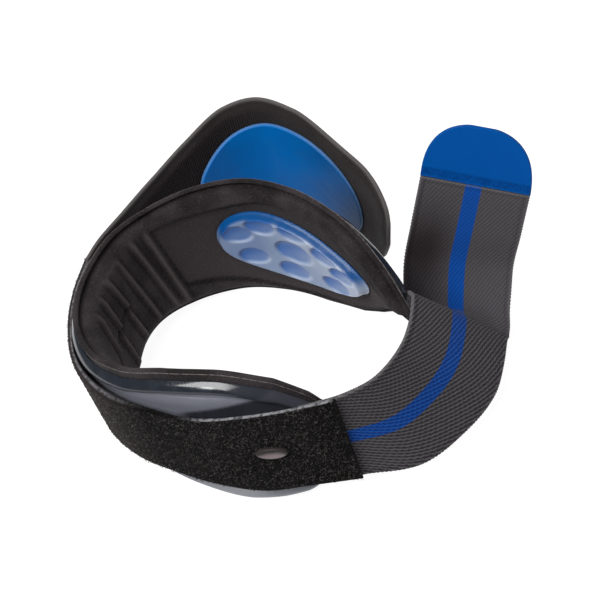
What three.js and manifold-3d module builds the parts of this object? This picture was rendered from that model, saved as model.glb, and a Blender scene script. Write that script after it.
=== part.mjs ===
// Tennis elbow strap: a sprung clasp that opens round the forearm, padded inside, with an
// outer band that runs back into a padded wing and an elastic webbing strap with a pull tab.
// Millimetres, +Z up along the forearm. The clasp stands on its lower edges at z = 0.
import * as THREE from 'three';
import { mergeVertices } from 'three/addons/utils/BufferGeometryUtils.js';
import Module from 'manifold-3d';

const wasm = await Module();
wasm.setup();

// Driving sizes
const SEAT_GAP = 0.3;          // space left between pieces that lie on each other
const LINER_FLANGE = 1.8;      // sewn edge of the padding
const LINER_PADDING = 3.6;     // how far the padding rises above its sewn edge
const FLANGE_WIDTH = 2.2;      // flat sewn edge before the padding starts to rise
const PADDING_ROUND = 5.5;     // length over which the padding rises
const PANEL_DEPTH = 0.9;       // recess round the friction pad
const PANEL_MARGIN = 4;        // recess runs this far past the pad
const PANEL_SOFTNESS = 3;      // length over which the recess rises again
const RIB_HEIGHT = 1.3;        // moulded ribs across the padding at the bend
const RIB_WIDTH = 6;
const SHELL_FACE = 1.9;        // plastic spring wall
const SHELL_RIM = 3.1;         // thicker bevelled rim
const SHELL_INSET = { bottom: 2, top: 4 };  // rim stays this far inside the padding's edges
const RIM_WIDTH = 4;
const BAND_THICK = 1.7;        // loop pile band
const WING_THICK = 2.6;
const WING_RIM = 1.4;          // thinner sewn edge of the wing
const WING_RIM_WIDTH = 3.5;
const WEBBING_WIDTH = 40;
const WEBBING_THICK = 1.4;
const TAB_LENGTH = 22.7;
const TAB_WIDTH = 40.2;
const TAB_THICK = 2.2;
const TAB_SKEW = 0.03;         // sideways lean of the tab towards the upper edge per mm of reach
const TAB_SQUARENESS = 2.5;    // 2 gives an ellipse, larger values squarer corners
const TAB_TIP = 0.995;         // the outline closes here, on a short straight edge
const PAD_EDGE = 0.6;          // thickness left at a gel pad's rim
const FADE_IN = { recess: [2, 6], rib: [4, 10] };  // distance from the edge where each starts and is full
const RIB_STEP = 2.25;         // section spacing along the clasp, over the ribs and elsewhere
const PLAIN_STEP = 6;
const SHELL_TIP_INSET = 5;     // shell stops this far short of the padding's tips
const MAX_INSET = 0.3;         // share of the wall's height that the shell's inset may take

// Sections across each wall, as shares of its height: close together at the edges.
const LINER_ACROSS = [0, 0.04, 0.08, 0.13, 0.2, 0.35, 0.5, 0.65, 0.8, 0.87, 0.92, 0.96, 1];
const SHELL_ACROSS = [0, 0.04, 0.08, 0.5, 0.92, 0.96, 1];
const WING_ACROSS = [0, 0.06, 0.12, 0.35, 0.65, 0.88, 0.94, 1];
const BAND_ACROSS = 5;
const WEBBING_ACROSS = 5;

// Sections along each piece, and rings and sides of the round ones.
const SHELL_ALONG = 46;
const BAND_ALONG = 46;
const WING_ALONG = 40;
const WEBBING_ALONG = 60;
const TAB_ALONG = 14;
const PAD_RINGS = 8;
const PAD_SIDES = 36;
const STUD_SIDES = 20;
const STUD_RINGS = 5;

const FOOTPRINT_MIDDLE = { x: 5.2, y: 2.45 };

const table = (columns, rows) =>
  rows.map((row) => Object.fromEntries(columns.map((name, i) => [name, row[i]])));

// Padding and shell, from the tip of the far arm round the bend to the tip of the near arm.
// lean is how far the top edge stands out past the middle of the wall.
const CLASP = table(['x', 'y', 'lean', 'bottom', 'top'], [
  [36.3, -18.8, 0, 19, 24.5],
  [33.3, -10, 0, 17.4, 37.2],
  [29, -1, 0, 11.2, 48],
  [23, 10, 0, 4.8, 55],
  [12, 27, 0, 0, 58],
  [-3, 42, 0, 0, 58],
  [-20, 49.5, -1.7, 0, 58],
  [-40, 49, -2.6, 1.2, 58],
  [-57, 41, 0, 4.6, 56.5],
  [-69, 26, 2, 4, 55],
  [-75, 6, 3.5, 3.4, 55],
  [-74, -13, 3, 6, 55],
  [-66, -30, 0.5, 7, 56.5],
  [-54, -42, -1, 3, 60],
  [-36.7, -54, -2.3, 0, 60.7],
  [-18.5, -61, -1.5, 1, 55],
  [-8, -63.5, 0, 8, 47],
  [-2, -64.5, 0, 15, 37],
]);

// Outer band, from its cut end in front round the bend to where it is sewn on the wing.
const BAND = table(['x', 'y', 'lean', 'bottom', 'top'], [
  [-0.3, -72.8, 0, 9.2, 50],
  [-17, -68.8, 0, 10.2, 49],
  [-33, -62.8, 0, 9, 47.5],
  [-47, -54.8, 0.5, 10, 46],
  [-60.5, -44, 0.5, 12.4, 46],
  [-73.8, -29.8, 1, 13.5, 46],
  [-81.3, -10.5, 1, 12, 47],
  [-80.4, 8, 1, 7, 48],
  [-76, 24.6, 1, 7, 50],
  [-68.7, 41.6, 0, 7, 51],
]);

// Wing, from its root between shell and band to its free tip behind the far arm.
const WING = table(['x', 'y', 'lean', 'bottom', 'top'], [
  [-68.7, 36.3, 0, 8, 52.4],
  [-62, 43.7, 0, 4, 53.2],
  [-50, 54.5, 0, 1, 53.3],
  [-35.5, 65, 0, 0, 55.2],
  [-20, 73, 0, 0, 59.4],
  [-3.5, 78.5, 0, 0, 64],
  [10, 75.5, 0, 0, 65.2],
  [22.5, 62.3, 0, 0, 62],
  [32.8, 45, 0, 2, 56.5],
  [37.9, 33.5, 0, 6, 51.3],
  [39, 25, 0, 15.5, 42],
  [39, 19.5, 0, 26, 34.5],
]);

// Webbing centre line. The width line runs from the upper to the lower edge:
// heading is its direction in plan and dip its fall below level, both in degrees.
const STRAP = table(['x', 'y', 'z', 'heading', 'dip'], [
  [-13, -67.2, 27, -66, 90],
  [0.5, -70.4, 28.4, -63, 89],
  [16.7, -69.6, 26, -52, 73],
  [31.2, -60.6, 24.3, -40, 61],
  [42.2, -47.8, 22, -34, 48],
  [50.9, -26, 19, -23, 43],
  [51.8, -18, 12.9, -35, 31],
  [50.6, -8.8, 6.3, -34, 9],
  [58.8, 0.6, 18.6, -20, 13],
  [65.1, 3, 31.6, -23.5, 16],
  [73.2, 6, 48, -26, 18],
]);

// Ribs across the padding, by distance along the clasp from its far tip.
const RIBS = table(['along', 'slant'], [
  [123.4, 6.6], [133.9, 6.8], [145.2, 6.3], [157.6, 2.7], [172, -4],
]);

// Gel pads, by distance along their wall and height. taper narrows the end nearer the wall's
// tip, tilt drops that end, and bevel is the share of the radius that its sloped edge takes.
const PAD_COLUMNS = ['along', 'height', 'halfLength', 'halfHeight', 'taper', 'tilt', 'rise', 'bevel'];
const [FRICTION_PAD, SMOOTH_PAD] = table(PAD_COLUMNS, [
  [53.7, 29.4, 38.2, 14.6, 0.25, 2.8, 4, 0.13],
  [61.4, 30, 39, 24.2, -0.17, 3.8, 2.4, 0.2],
]);

// Oval dimples in the friction pad, placed from the pad's middle.
const DIMPLES = table(['along', 'height'], [
  [28.1, 7.4], [15.1, 12], [-1.6, 12.6], [22.9, -3.9], [0.2, 2.5], [3.2, -7.9], [-17.1, 6.9], [-24.6, 0.8],
  [-19.8, -6.3],
]);
const DIMPLE = { halfLength: 5, halfHeight: 3.2, depth: 1.1, sides: 10, rings: 6 };
const STUD = { along: 27, height: 30.2, halfLength: 5.4, halfHeight: 2.5, rise: 1.3 };

const MATERIALS = {
  liner: { color: 0x1c1b1c, roughness: 0.92, metalness: 0 },
  friction_pad: { color: 0x9aa6d6, roughness: 0.3, metalness: 0 },
  shell: { color: 0x4a525c, roughness: 0.3, metalness: 0 },
  outer_band: { color: 0x191817, roughness: 0.97, metalness: 0 },
  wing: { color: 0x201f20, roughness: 0.9, metalness: 0 },
  smooth_pad: { color: 0x0a5fae, roughness: 0.25, metalness: 0 },
  strap: { color: 0x4a4848, roughness: 0.85, metalness: 0 },
  end_tab: { color: 0x0750a0, roughness: 0.55, metalness: 0 },
  stud: { color: 0x2a2a2c, roughness: 0.25, metalness: 0.2 },
};

const smooth = THREE.MathUtils.smoothstep;
const span = (count) => Array.from({ length: count + 1 }, (_, i) => i / count);

// A standing wall through a table of sections. at() gives its section at a share of its
// length, point() a place on it at a height share and a distance out from it.
function standingWall(rows) {
  const plan = new THREE.CatmullRomCurve3(rows.map((r) => new THREE.Vector3(r.x, r.y, 0)));
  const edges = new THREE.CatmullRomCurve3(rows.map((r) => new THREE.Vector3(r.lean, r.bottom, r.top)));
  plan.arcLengthDivisions = 400;
  const at = (u) => {
    const t = plan.getUtoTmapping(u);
    const [lean, lower, top] = edges.getPoint(t).toArray();
    const bottom = Math.max(lower, 0);
    const tangent = plan.getTangent(t);
    return { place: plan.getPoint(t), out: new THREE.Vector3(tangent.y, -tangent.x, 0), lean, bottom, top };
  };
  const point = (u, w, outward) => {
    const { place, out, lean, bottom, top } = at(u);
    const p = place.clone().addScaledVector(out, outward + lean * (2 * w - 1));
    return p.setZ(THREE.MathUtils.lerp(bottom, top, w));
  };
  return { length: plan.getLength(), at, point };
}

// A closed solid between two faces that share a grid of u along and w across.
function sheetSolid(us, ws, face, back) {
  const corners = [];
  for (const side of [face, back]) {
    for (const u of us) {
      for (const w of ws) corners.push(side(u, w));
    }
  }
  const row = ws.length;
  const layer = us.length * row;
  const triangles = [];
  const quad = (a, b, c, d) => triangles.push(a, b, c, a, c, d);
  for (let i = 0; i + 1 < us.length; i++) {
    for (let j = 0; j + 1 < row; j++) {
      const a = i * row + j;
      quad(a, a + row, a + row + 1, a + 1);
      quad(layer + a, layer + a + 1, layer + a + row + 1, layer + a + row);
    }
    const low = i * row;
    const high = low + row - 1;
    quad(low, layer + low, layer + low + row, low + row);
    quad(high, high + row, layer + high + row, layer + high);
  }
  for (let j = 0; j + 1 < row; j++) {
    const end = layer - row + j;
    quad(j, j + 1, layer + j + 1, layer + j);
    quad(end, layer + end, layer + end + 1, end + 1);
  }
  return closed(corners, triangles);
}

// A rounded patch: rings of corners from a middle point out to a rim, front and back.
function patchSolid(rings, sides, front, back) {
  const corners = [front(0, 0)];
  for (let ring = 1; ring <= rings; ring++) {
    for (let k = 0; k < sides; k++) corners.push(front(ring / rings, (k / sides) * 2 * Math.PI));
  }
  const rim = 1 + (rings - 1) * sides;
  const under = corners.length;
  for (let k = 0; k < sides; k++) corners.push(back(1, (k / sides) * 2 * Math.PI));
  const inset = corners.length;
  for (let k = 0; k < sides; k++) corners.push(back(0.5, (k / sides) * 2 * Math.PI));
  const middle = corners.length;
  corners.push(back(0, 0));
  const triangles = [];
  const quad = (a, b, c, d) => triangles.push(a, b, c, a, c, d);
  for (let k = 0; k < sides; k++) {
    const next = (k + 1) % sides;
    triangles.push(0, 1 + k, 1 + next);
    for (let ring = 1; ring < rings; ring++) {
      const inner = 1 + (ring - 1) * sides;
      quad(inner + k, inner + sides + k, inner + sides + next, inner + next);
    }
    quad(rim + k, under + k, under + next, rim + next);
    quad(under + k, inset + k, inset + next, under + next);
    triangles.push(inset + k, middle, inset + next);
  }
  return closed(corners, triangles);
}

// Indexed geometry whose faces point out, whichever way round its grid was made.
function closed(corners, triangles) {
  let volume = 0;
  for (let i = 0; i < triangles.length; i += 3) {
    const [a, b, c] = triangles.slice(i, i + 3).map((k) => corners[k]);
    volume += a.dot(b.clone().cross(c));
  }
  if (volume < 0) {
    for (let i = 0; i < triangles.length; i += 3) {
      [triangles[i + 1], triangles[i + 2]] = [triangles[i + 2], triangles[i + 1]];
    }
  }
  const geometry = new THREE.BufferGeometry().setFromPoints(corners);
  geometry.setIndex(triangles);
  return geometry;
}

function toManifold(geometry) {
  const bare = geometry.clone();
  bare.deleteAttribute('normal');
  bare.deleteAttribute('uv');
  const merged = mergeVertices(bare);
  return new wasm.Manifold(new wasm.Mesh({
    numProp: 3,
    vertProperties: new Float32Array(merged.attributes.position.array),
    triVerts: new Uint32Array(merged.index.array),
  }));
}

function fromManifold(solid) {
  const { vertProperties, triVerts } = solid.getMesh();
  const geometry = new THREE.BufferGeometry();
  geometry.setAttribute('position', new THREE.BufferAttribute(vertProperties, 3));
  geometry.setIndex(new THREE.BufferAttribute(triVerts, 1));
  return geometry;
}

const clasp = standingWall(CLASP);
const bandWall = standingWall([...BAND].reverse());
const wingWall = standingWall([...WING].reverse());

// Distance of a place on a wall from its nearest edge or tip.
function edgeDistance(wall, u, w) {
  const { bottom, top } = wall.at(u);
  const height = (top - bottom) * Math.min(w, 1 - w);
  return Math.min(height, u * wall.length, (1 - u) * wall.length);
}

// Where a share r of a pad's radius lies at an angle, as distance along the wall and height.
function padPlace(pad, r, angle) {
  const dx = r * Math.cos(angle);
  const dy = r * Math.sin(angle) * (1 + pad.taper * dx);
  return { along: pad.along + pad.halfLength * dx, height: pad.height + pad.tilt * dx + pad.halfHeight * dy };
}

// How far out in a pad's outline a place is: 0 at its middle, 1 on the outline.
function padReach(pad, along, height) {
  const dx = (along - pad.along) / pad.halfLength;
  const dy = (height - pad.height - pad.tilt * dx) / pad.halfHeight;
  return Math.hypot(dx, dy / Math.max(1 + pad.taper * dx, 1 - pad.taper));
}

// Height of the padding above the sewn edge.
function paddingRise(u, w) {
  const along = u * clasp.length;
  const { bottom, top } = clasp.at(u);
  const height = THREE.MathUtils.lerp(bottom, top, w);
  const edge = edgeDistance(clasp, u, w);
  let rise = LINER_PADDING * smooth(edge, FLANGE_WIDTH, FLANGE_WIDTH + PADDING_ROUND);
  const reach = padReach(FRICTION_PAD, along, height);
  const margin = (reach - 1) * FRICTION_PAD.halfHeight;
  const panel = 1 - smooth(margin, PANEL_MARGIN, PANEL_MARGIN + PANEL_SOFTNESS);
  rise -= PANEL_DEPTH * panel * smooth(edge, ...FADE_IN.recess);
  for (const rib of RIBS) {
    const offset = along - rib.along - rib.slant * (2 * w - 1);
    const swell = 0.5 + 0.5 * Math.cos(Math.min(Math.abs(offset) / RIB_WIDTH, 0.5) * 2 * Math.PI);
    rise += RIB_HEIGHT * swell * smooth(edge, ...FADE_IN.rib);
  }
  return rise;
}

// Sections closer together where the ribs are.
function claspSections() {
  const first = RIBS[0].along - RIB_WIDTH;
  const last = RIBS[RIBS.length - 1].along + RIB_WIDTH;
  const us = [0];
  while (us[us.length - 1] < clasp.length - PLAIN_STEP) {
    const here = us[us.length - 1];
    us.push(here + (here >= first && here < last ? RIB_STEP : PLAIN_STEP));
  }
  us.push(clasp.length);
  return us.map((along) => along / clasp.length);
}

function makeLiner() {
  return sheetSolid(claspSections(), LINER_ACROSS,
    (u, w) => clasp.point(u, w, -LINER_FLANGE - paddingRise(u, w)),
    (u, w) => clasp.point(u, w, 0));
}

function makeShell() {
  const tip = SHELL_TIP_INSET / clasp.length;
  const us = span(SHELL_ALONG).map((u) => THREE.MathUtils.lerp(tip, 1 - tip, u));
  const band = (u) => {
    const { bottom, top } = clasp.at(u);
    const height = top - bottom;
    return [SHELL_INSET.bottom, SHELL_INSET.top].map((inset) => Math.min(inset / height, MAX_INSET));
  };
  const inset = (u, w) => {
    const [low, high] = band(u);
    return THREE.MathUtils.lerp(low, 1 - high, w);
  };
  const thickness = (u, w) => {
    const { bottom, top } = clasp.at(u);
    const [low, high] = band(u);
    const rise = (top - bottom) * (1 - low - high) * Math.min(w, 1 - w);
    const edge = Math.min(rise, (u - tip) * clasp.length, (1 - tip - u) * clasp.length);
    const crest = smooth(edge, 0, RIM_WIDTH * 0.5);
    const fall = smooth(edge, RIM_WIDTH * 0.5, RIM_WIDTH);
    return THREE.MathUtils.lerp(SHELL_FACE, SHELL_RIM, crest) - (SHELL_RIM - SHELL_FACE) * fall;
  };
  return sheetSolid(us, SHELL_ACROSS,
    (u, w) => clasp.point(u, inset(u, w), SEAT_GAP + thickness(u, w)),
    (u, w) => clasp.point(u, inset(u, w), SEAT_GAP));
}

function makeBand() {
  return sheetSolid(span(BAND_ALONG), span(BAND_ACROSS),
    (u, w) => bandWall.point(u, w, BAND_THICK / 2),
    (u, w) => bandWall.point(u, w, -BAND_THICK / 2));
}

function makeWing() {
  const half = (u, w) =>
    THREE.MathUtils.lerp(WING_RIM, WING_THICK, smooth(edgeDistance(wingWall, u, w), 0, WING_RIM_WIDTH)) / 2;
  return sheetSolid(span(WING_ALONG), WING_ACROSS,
    (u, w) => wingWall.point(u, w, half(u, w)),
    (u, w) => wingWall.point(u, w, -half(u, w)));
}

// A gel pad lying on the inner face of a wall, with a sloped edge and a domed face.
function makePad(wall, pad, seat) {
  const place = (r, angle, inward) => {
    const { along, height } = padPlace(pad, r, angle);
    const u = along / wall.length;
    const { bottom, top } = wall.at(u);
    return wall.point(u, (height - bottom) / (top - bottom), -inward);
  };
  const dome = (r) => THREE.MathUtils.lerp(pad.rise, PAD_EDGE, smooth(r, 1 - pad.bevel, 1));
  return patchSolid(PAD_RINGS, PAD_SIDES,
    (r, angle) => place(r, angle, seat + dome(r)),
    (r, angle) => place(r, angle, seat));
}

function makeFrictionPad() {
  const seat = LINER_FLANGE + LINER_PADDING - PANEL_DEPTH + SEAT_GAP;
  const face = seat + FRICTION_PAD.rise;
  let solid = toManifold(makePad(clasp, FRICTION_PAD, seat));
  for (const dimple of DIMPLES) {
    const u = (FRICTION_PAD.along + dimple.along) / clasp.length;
    const { out, bottom, top } = clasp.at(u);
    const height = FRICTION_PAD.height + dimple.height;
    const bowl = new THREE.SphereGeometry(1, DIMPLE.sides, DIMPLE.rings);
    bowl.scale(DIMPLE.halfLength, DIMPLE.depth, DIMPLE.halfHeight);
    bowl.rotateZ(Math.atan2(out.y, out.x) - Math.PI / 2);
    const centre = clasp.point(u, (height - bottom) / (top - bottom), -face);
    bowl.translate(centre.x, centre.y, centre.z);
    solid = solid.subtract(toManifold(bowl));
  }
  return fromManifold(solid);
}

// The webbing's middle surface: v runs along it and w across it from upper to lower edge.
function webbing() {
  const line = new THREE.CatmullRomCurve3(STRAP.map((r) => new THREE.Vector3(r.x, r.y, r.z)));
  const turn = new THREE.CatmullRomCurve3(STRAP.map((r) => new THREE.Vector3(r.heading, r.dip, 0)));
  line.arcLengthDivisions = 400;
  const at = (v) => {
    const t = line.getUtoTmapping(v);
    const [heading, dip] = turn.getPoint(t).toArray().map(THREE.MathUtils.degToRad);
    const across = new THREE.Vector3(
      Math.cos(dip) * Math.cos(heading), Math.cos(dip) * Math.sin(heading), -Math.sin(dip));
    const along = line.getTangent(t);
    const up = across.clone().cross(along).normalize();
    return { place: line.getPoint(t), across, along, up };
  };
  return { at };
}
const strapLine = webbing();

function makeStrap() {
  const point = (v, w, lift) => {
    const { place, across, up } = strapLine.at(v);
    return place.addScaledVector(across, WEBBING_WIDTH * (w - 0.5)).addScaledVector(up, lift);
  };
  return sheetSolid(span(WEBBING_ALONG), span(WEBBING_ACROSS),
    (v, w) => point(v, w, WEBBING_THICK / 2),
    (v, w) => point(v, w, -WEBBING_THICK / 2));
}

function makeTab() {
  const { place, across, along, up } = strapLine.at(1);
  const level = along.clone().addScaledVector(across, -along.dot(across)).normalize();
  const point = (v, w, lift) => {
    const reach = SEAT_GAP + v * TAB_LENGTH;
    const halfWidth = (TAB_WIDTH / 2) * (1 - v ** TAB_SQUARENESS) ** (1 / TAB_SQUARENESS);
    return place.clone().addScaledVector(level, reach)
      .addScaledVector(across, halfWidth * (2 * w - 1) - TAB_SKEW * reach).addScaledVector(up, lift);
  };
  const us = span(TAB_ALONG).map((u) => TAB_TIP * Math.sin((u * Math.PI) / 2));
  return sheetSolid(us, span(WEBBING_ACROSS),
    (v, w) => point(v, w, TAB_THICK / 2),
    (v, w) => point(v, w, -TAB_THICK / 2));
}

function makeStud() {
  const u = 1 - STUD.along / bandWall.length;
  const { out, bottom, top } = bandWall.at(u);
  const arc = span(STUD_RINGS).slice(0, -1).map((share) => (share * Math.PI) / 2);
  const profile = arc.map((angle) => new THREE.Vector2(Math.cos(angle), Math.sin(angle)));
  const outline = [new THREE.Vector2(0, 0), ...profile, new THREE.Vector2(0, 1)];
  const dome = new THREE.LatheGeometry(outline, STUD_SIDES);
  dome.scale(STUD.halfLength, STUD.rise, STUD.halfHeight);
  dome.rotateZ(Math.atan2(out.y, out.x) - Math.PI / 2);
  const seat = bandWall.point(u, (STUD.height - bottom) / (top - bottom), BAND_THICK / 2 + SEAT_GAP);
  dome.translate(seat.x, seat.y, seat.z);
  return dome;
}

const wingSeat = WING_THICK / 2 + SEAT_GAP;
const shapes = {
  liner: makeLiner(),
  friction_pad: makeFrictionPad(),
  shell: makeShell(),
  outer_band: makeBand(),
  wing: makeWing(),
  smooth_pad: makePad(wingWall, SMOOTH_PAD, wingSeat),
  strap: makeStrap(),
  end_tab: makeTab(),
  stud: makeStud(),
};

// The origin is the middle of the footprint, on the surface the part stands on.
const elbowStrap = new THREE.Group();
elbowStrap.position.set(-FOOTPRINT_MIDDLE.x, -FOOTPRINT_MIDDLE.y, 0);
for (const [name, geometry] of Object.entries(shapes)) {
  const mesh = new THREE.Mesh(geometry, new THREE.MeshStandardMaterial(MATERIALS[name]));
  mesh.name = name;
  elbowStrap.add(mesh);
}

export default elbowStrap;
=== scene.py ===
# %% [markdown]
# A tennis elbow strap, piece by piece
#
# The real strap is a sprung plastic clasp with a padded lining that snaps round the forearm.
# A band of loop pile runs round its outside, a padded wing stands behind it, and an elastic
# webbing strap with a pull tab closes it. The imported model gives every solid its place, and
# this lesson dresses each solid with a finer mesh and a finish of its own.

import math

import bpy
import numpy as np
from mathutils import Matrix, Vector


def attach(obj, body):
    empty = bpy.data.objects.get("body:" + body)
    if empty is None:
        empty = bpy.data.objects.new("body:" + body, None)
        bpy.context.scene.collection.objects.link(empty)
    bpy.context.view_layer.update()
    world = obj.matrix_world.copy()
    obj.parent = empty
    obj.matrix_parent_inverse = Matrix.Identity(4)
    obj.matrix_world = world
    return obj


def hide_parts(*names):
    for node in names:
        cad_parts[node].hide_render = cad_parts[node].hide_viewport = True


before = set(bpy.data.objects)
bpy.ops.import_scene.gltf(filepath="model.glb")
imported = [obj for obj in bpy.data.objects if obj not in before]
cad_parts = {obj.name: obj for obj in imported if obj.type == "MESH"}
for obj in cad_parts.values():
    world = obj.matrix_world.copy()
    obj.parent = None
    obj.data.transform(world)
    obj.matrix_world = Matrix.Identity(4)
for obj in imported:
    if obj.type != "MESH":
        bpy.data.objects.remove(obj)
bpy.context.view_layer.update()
print("solids:", sorted(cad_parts))

# %% [markdown]
# The camera comes first, because every later choice is judged through it. The strap was
# photographed from about 43 degrees above the table with the picture turned by 20 degrees.
# A long lens from 80 cm keeps the near and the far wall at almost the same scale.

# %% Camera
AIM = Vector((-0.0052, -0.00245, 0.030))
ELEVATION = math.radians(43)
PICTURE_TURN = math.radians(20)
CAMERA_AWAY = 0.8
PICTURE_SIDE = 600
PIXELS_PER_METRE = 2760

camera_data = bpy.data.cameras.new("camera")
camera_data.sensor_width = 36
camera_data.lens = camera_data.sensor_width * PIXELS_PER_METRE * CAMERA_AWAY / PICTURE_SIDE
camera = bpy.data.objects.new("camera", camera_data)
bpy.context.scene.collection.objects.link(camera)
towards_camera = Vector((0, -math.cos(ELEVATION), math.sin(ELEVATION)))
facing = Matrix.Rotation(math.pi / 2 - ELEVATION, 4, "X") @ Matrix.Rotation(-PICTURE_TURN, 4, "Z")
camera.matrix_world = Matrix.Translation(AIM + CAMERA_AWAY * towards_camera) @ facing
bpy.context.scene.camera = camera
print("lens in mm:", round(camera_data.lens, 1))

# %% [markdown]
# The studio is a pale floor under soft boxes. Black fabric only reads well when a large
# light grazes it, so the main box hangs high on the left and a weaker one fills the right.
# A picture of a studio could light the scene as well, but boxes can be moved one at a time.
# The floor glows, as a light table does, which keeps the shadows faint.

# %% Small helpers for shader nodes
def add_node(tree, kind, inputs=None, **settings):
    """A node with its settings, whose inputs are linked to sockets or set to values."""
    made = tree.nodes.new(kind)
    for key, value in settings.items():
        setattr(made, key, value)
    for key, value in (inputs or {}).items():
        if isinstance(value, bpy.types.NodeSocket):
            tree.links.new(value, made.inputs[key])
        else:
            made.inputs[key].default_value = value
    return made


def calc(tree, operation, first, second=0.0, third=0.0):
    inputs = {0: first, 1: second, 2: third}
    return add_node(tree, "ShaderNodeMath", inputs, operation=operation).outputs[0]


def ramp(tree, value, low, high, low_out=0.0, high_out=1.0):
    """A value brought from one range to another and held at its ends."""
    inputs = {"Value": value, "From Min": low, "From Max": high, "To Min": low_out, "To Max": high_out}
    return add_node(tree, "ShaderNodeMapRange", inputs, interpolation_type="SMOOTHSTEP").outputs[0]


# %% Colours
# numbers of the mix node's sockets for colours
COLOUR_MIX = {"factor": 0, "first": 6, "second": 7, "result": 2}


def mix_colours(tree, share, first, second):
    inputs = {COLOUR_MIX["factor"]: share, COLOUR_MIX["first"]: first, COLOUR_MIX["second"]: second}
    made = add_node(tree, "ShaderNodeMix", inputs, data_type="RGBA")
    return made.outputs[COLOUR_MIX["result"]]


def tint(tree, base, colour, mask, strength):
    """A base colour that takes on another where the mask is high, up to a strength."""
    return mix_colours(tree, calc(tree, "MULTIPLY", mask, strength), base, colour)


def grey(level):
    return (level, level, level, 1)


def linear(red, green, blue):
    """A colour given as screen values from 0 to 255, as the renderer's linear light."""
    def one(value):
        share = value / 255
        return share / 12.92 if share <= 0.04045 else ((share + 0.055) / 1.055) ** 2.4

    return (one(red), one(green), one(blue), 1)


def new_finish(name, **constants):
    """A material with its shader, and constants set straight on the shader's sockets."""
    finish = bpy.data.materials.new(name)
    finish.use_nodes = True
    shader = finish.node_tree.nodes["Principled BSDF"]
    for label, value in constants.items():
        shader.inputs[label.replace("_", " ")].default_value = value
    return finish, finish.node_tree, shader


print("middle grey on a screen is", round(linear(128, 128, 128)[0], 3), "in linear light")

# %% Floor and lights
FLOOR_HALF = 2.5
FLOOR_CORNERS = ((-1, -1), (1, -1), (1, 1), (-1, 1))
FLOOR_DROP = 0.0002
FLOOR_GLOW = 0.92
# name, direction from the object, distance, side of the box, power
LIGHTS = [
    ("main soft box", (-0.40, -0.30, 0.87), 1.3, 0.9, 24),
    ("right fill", (0.75, -0.35, 0.56), 1.4, 0.9, 6),
    ("back light", (0.10, 0.75, 0.65), 1.4, 0.7, 6),
    ("small highlight box", (-0.61, -0.435, 0.643), 1.3, 0.2, 1.5),
]
WORLD_LIGHT = 0.1

floor_mesh = bpy.data.meshes.new("floor")
corners = [(x * FLOOR_HALF, y * FLOOR_HALF, -FLOOR_DROP) for x, y in FLOOR_CORNERS]
floor_mesh.from_pydata(corners, [], [(0, 1, 2, 3)])
floor = bpy.data.objects.new("floor", floor_mesh)
bpy.context.scene.collection.objects.link(floor)
floor_finish, _, _ = new_finish(
    "pale floor", Base_Color=grey(0.2), Roughness=0.9, Specular_IOR_Level=0.0,
    Emission_Color=grey(1.0), Emission_Strength=FLOOR_GLOW)
floor_mesh.materials.append(floor_finish)

for name, direction, away, side, power in LIGHTS:
    light_data = bpy.data.lights.new(name, "AREA")
    light_data.size = side
    light_data.energy = power
    light = bpy.data.objects.new(name, light_data)
    towards = Vector(direction).normalized()
    light.location = AIM + away * towards
    light.rotation_euler = towards.to_track_quat("Z", "Y").to_euler()
    bpy.context.scene.collection.objects.link(light)

world = bpy.data.worlds.new("studio")
world.use_nodes = True
world.node_tree.nodes["Background"].inputs["Color"].default_value = grey(1.0)
world.node_tree.nodes["Background"].inputs["Strength"].default_value = WORLD_LIGHT
bpy.context.scene.world = world
bpy.context.scene.view_settings.view_transform = "Standard"
print("lights:", [row[0] for row in LIGHTS])

# %% [markdown]
# Every wall of the strap is a ribbon of cloth, foam or plastic that stands on its edge. One
# way to make such a ribbon is a curve with a bevel; here each is a grid of points instead,
# because a grid lets padding, ribs and hems be written as plain heights over the wall. The
# tables repeat the sections of the solids in millimetres, so each mesh lies on its solid.

# %% Smooth curves through tables of sections
FOOTPRINT_MIDDLE = np.array([5.2, 2.45, 0.0])
METRE = 0.001
ARC_STEPS = 400
TINY = 1e-4


def smooth_curve(rows):
    """A curve through rows of numbers that stays calm where the rows are unevenly spaced."""
    rows = np.asarray(rows, float)
    padded = np.vstack([2 * rows[0] - rows[1], rows, 2 * rows[-1] - rows[-2]])

    def root_gap(a, b):
        return np.sqrt(np.linalg.norm(b - a, axis=-1))[..., None]

    def at(t):
        place = np.clip(np.asarray(t, float), 0, 1) * (len(rows) - 1)
        i = np.minimum(place.astype(int), len(rows) - 2)
        f = (place - i)[..., None]
        p0, p1, p2, p3 = (padded[i + k] for k in range(4))
        d1 = root_gap(p1, p2)
        d1 = np.where(d1 < TINY, 1, d1)
        d0 = np.where(root_gap(p0, p1) < TINY, d1, root_gap(p0, p1))
        d2 = np.where(root_gap(p2, p3) < TINY, d1, root_gap(p2, p3))
        m1 = ((p1 - p0) / d0 - (p2 - p0) / (d0 + d1) + (p2 - p1) / d1) * d1
        m2 = ((p2 - p1) / d1 - (p3 - p1) / (d1 + d2) + (p3 - p2) / d2) * d1
        return p1 + m1 * f + (3 * (p2 - p1) - 2 * m1 - m2) * f**2 + (2 * (p1 - p2) + m1 + m2) * f**3

    return at


def arc_table(curve):
    """Curve parameters and the distance run at each."""
    ts = np.linspace(0, 1, ARC_STEPS + 1)
    steps = np.linalg.norm(np.diff(curve(ts), axis=0), axis=1)
    return ts, np.concatenate([[0], np.cumsum(steps)])


def tangent(curve, t):
    step = curve(np.clip(t + TINY, 0, 1)) - curve(np.clip(t - TINY, 0, 1))
    return step / np.linalg.norm(step, axis=-1, keepdims=True)


def smooth_step(value, low, high):
    share = np.clip((value - low) / (high - low), 0, 1)
    return share * share * (3 - 2 * share)


def bump(value, middle, width):
    return np.exp(-(((value - middle) / width) ** 2))


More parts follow.
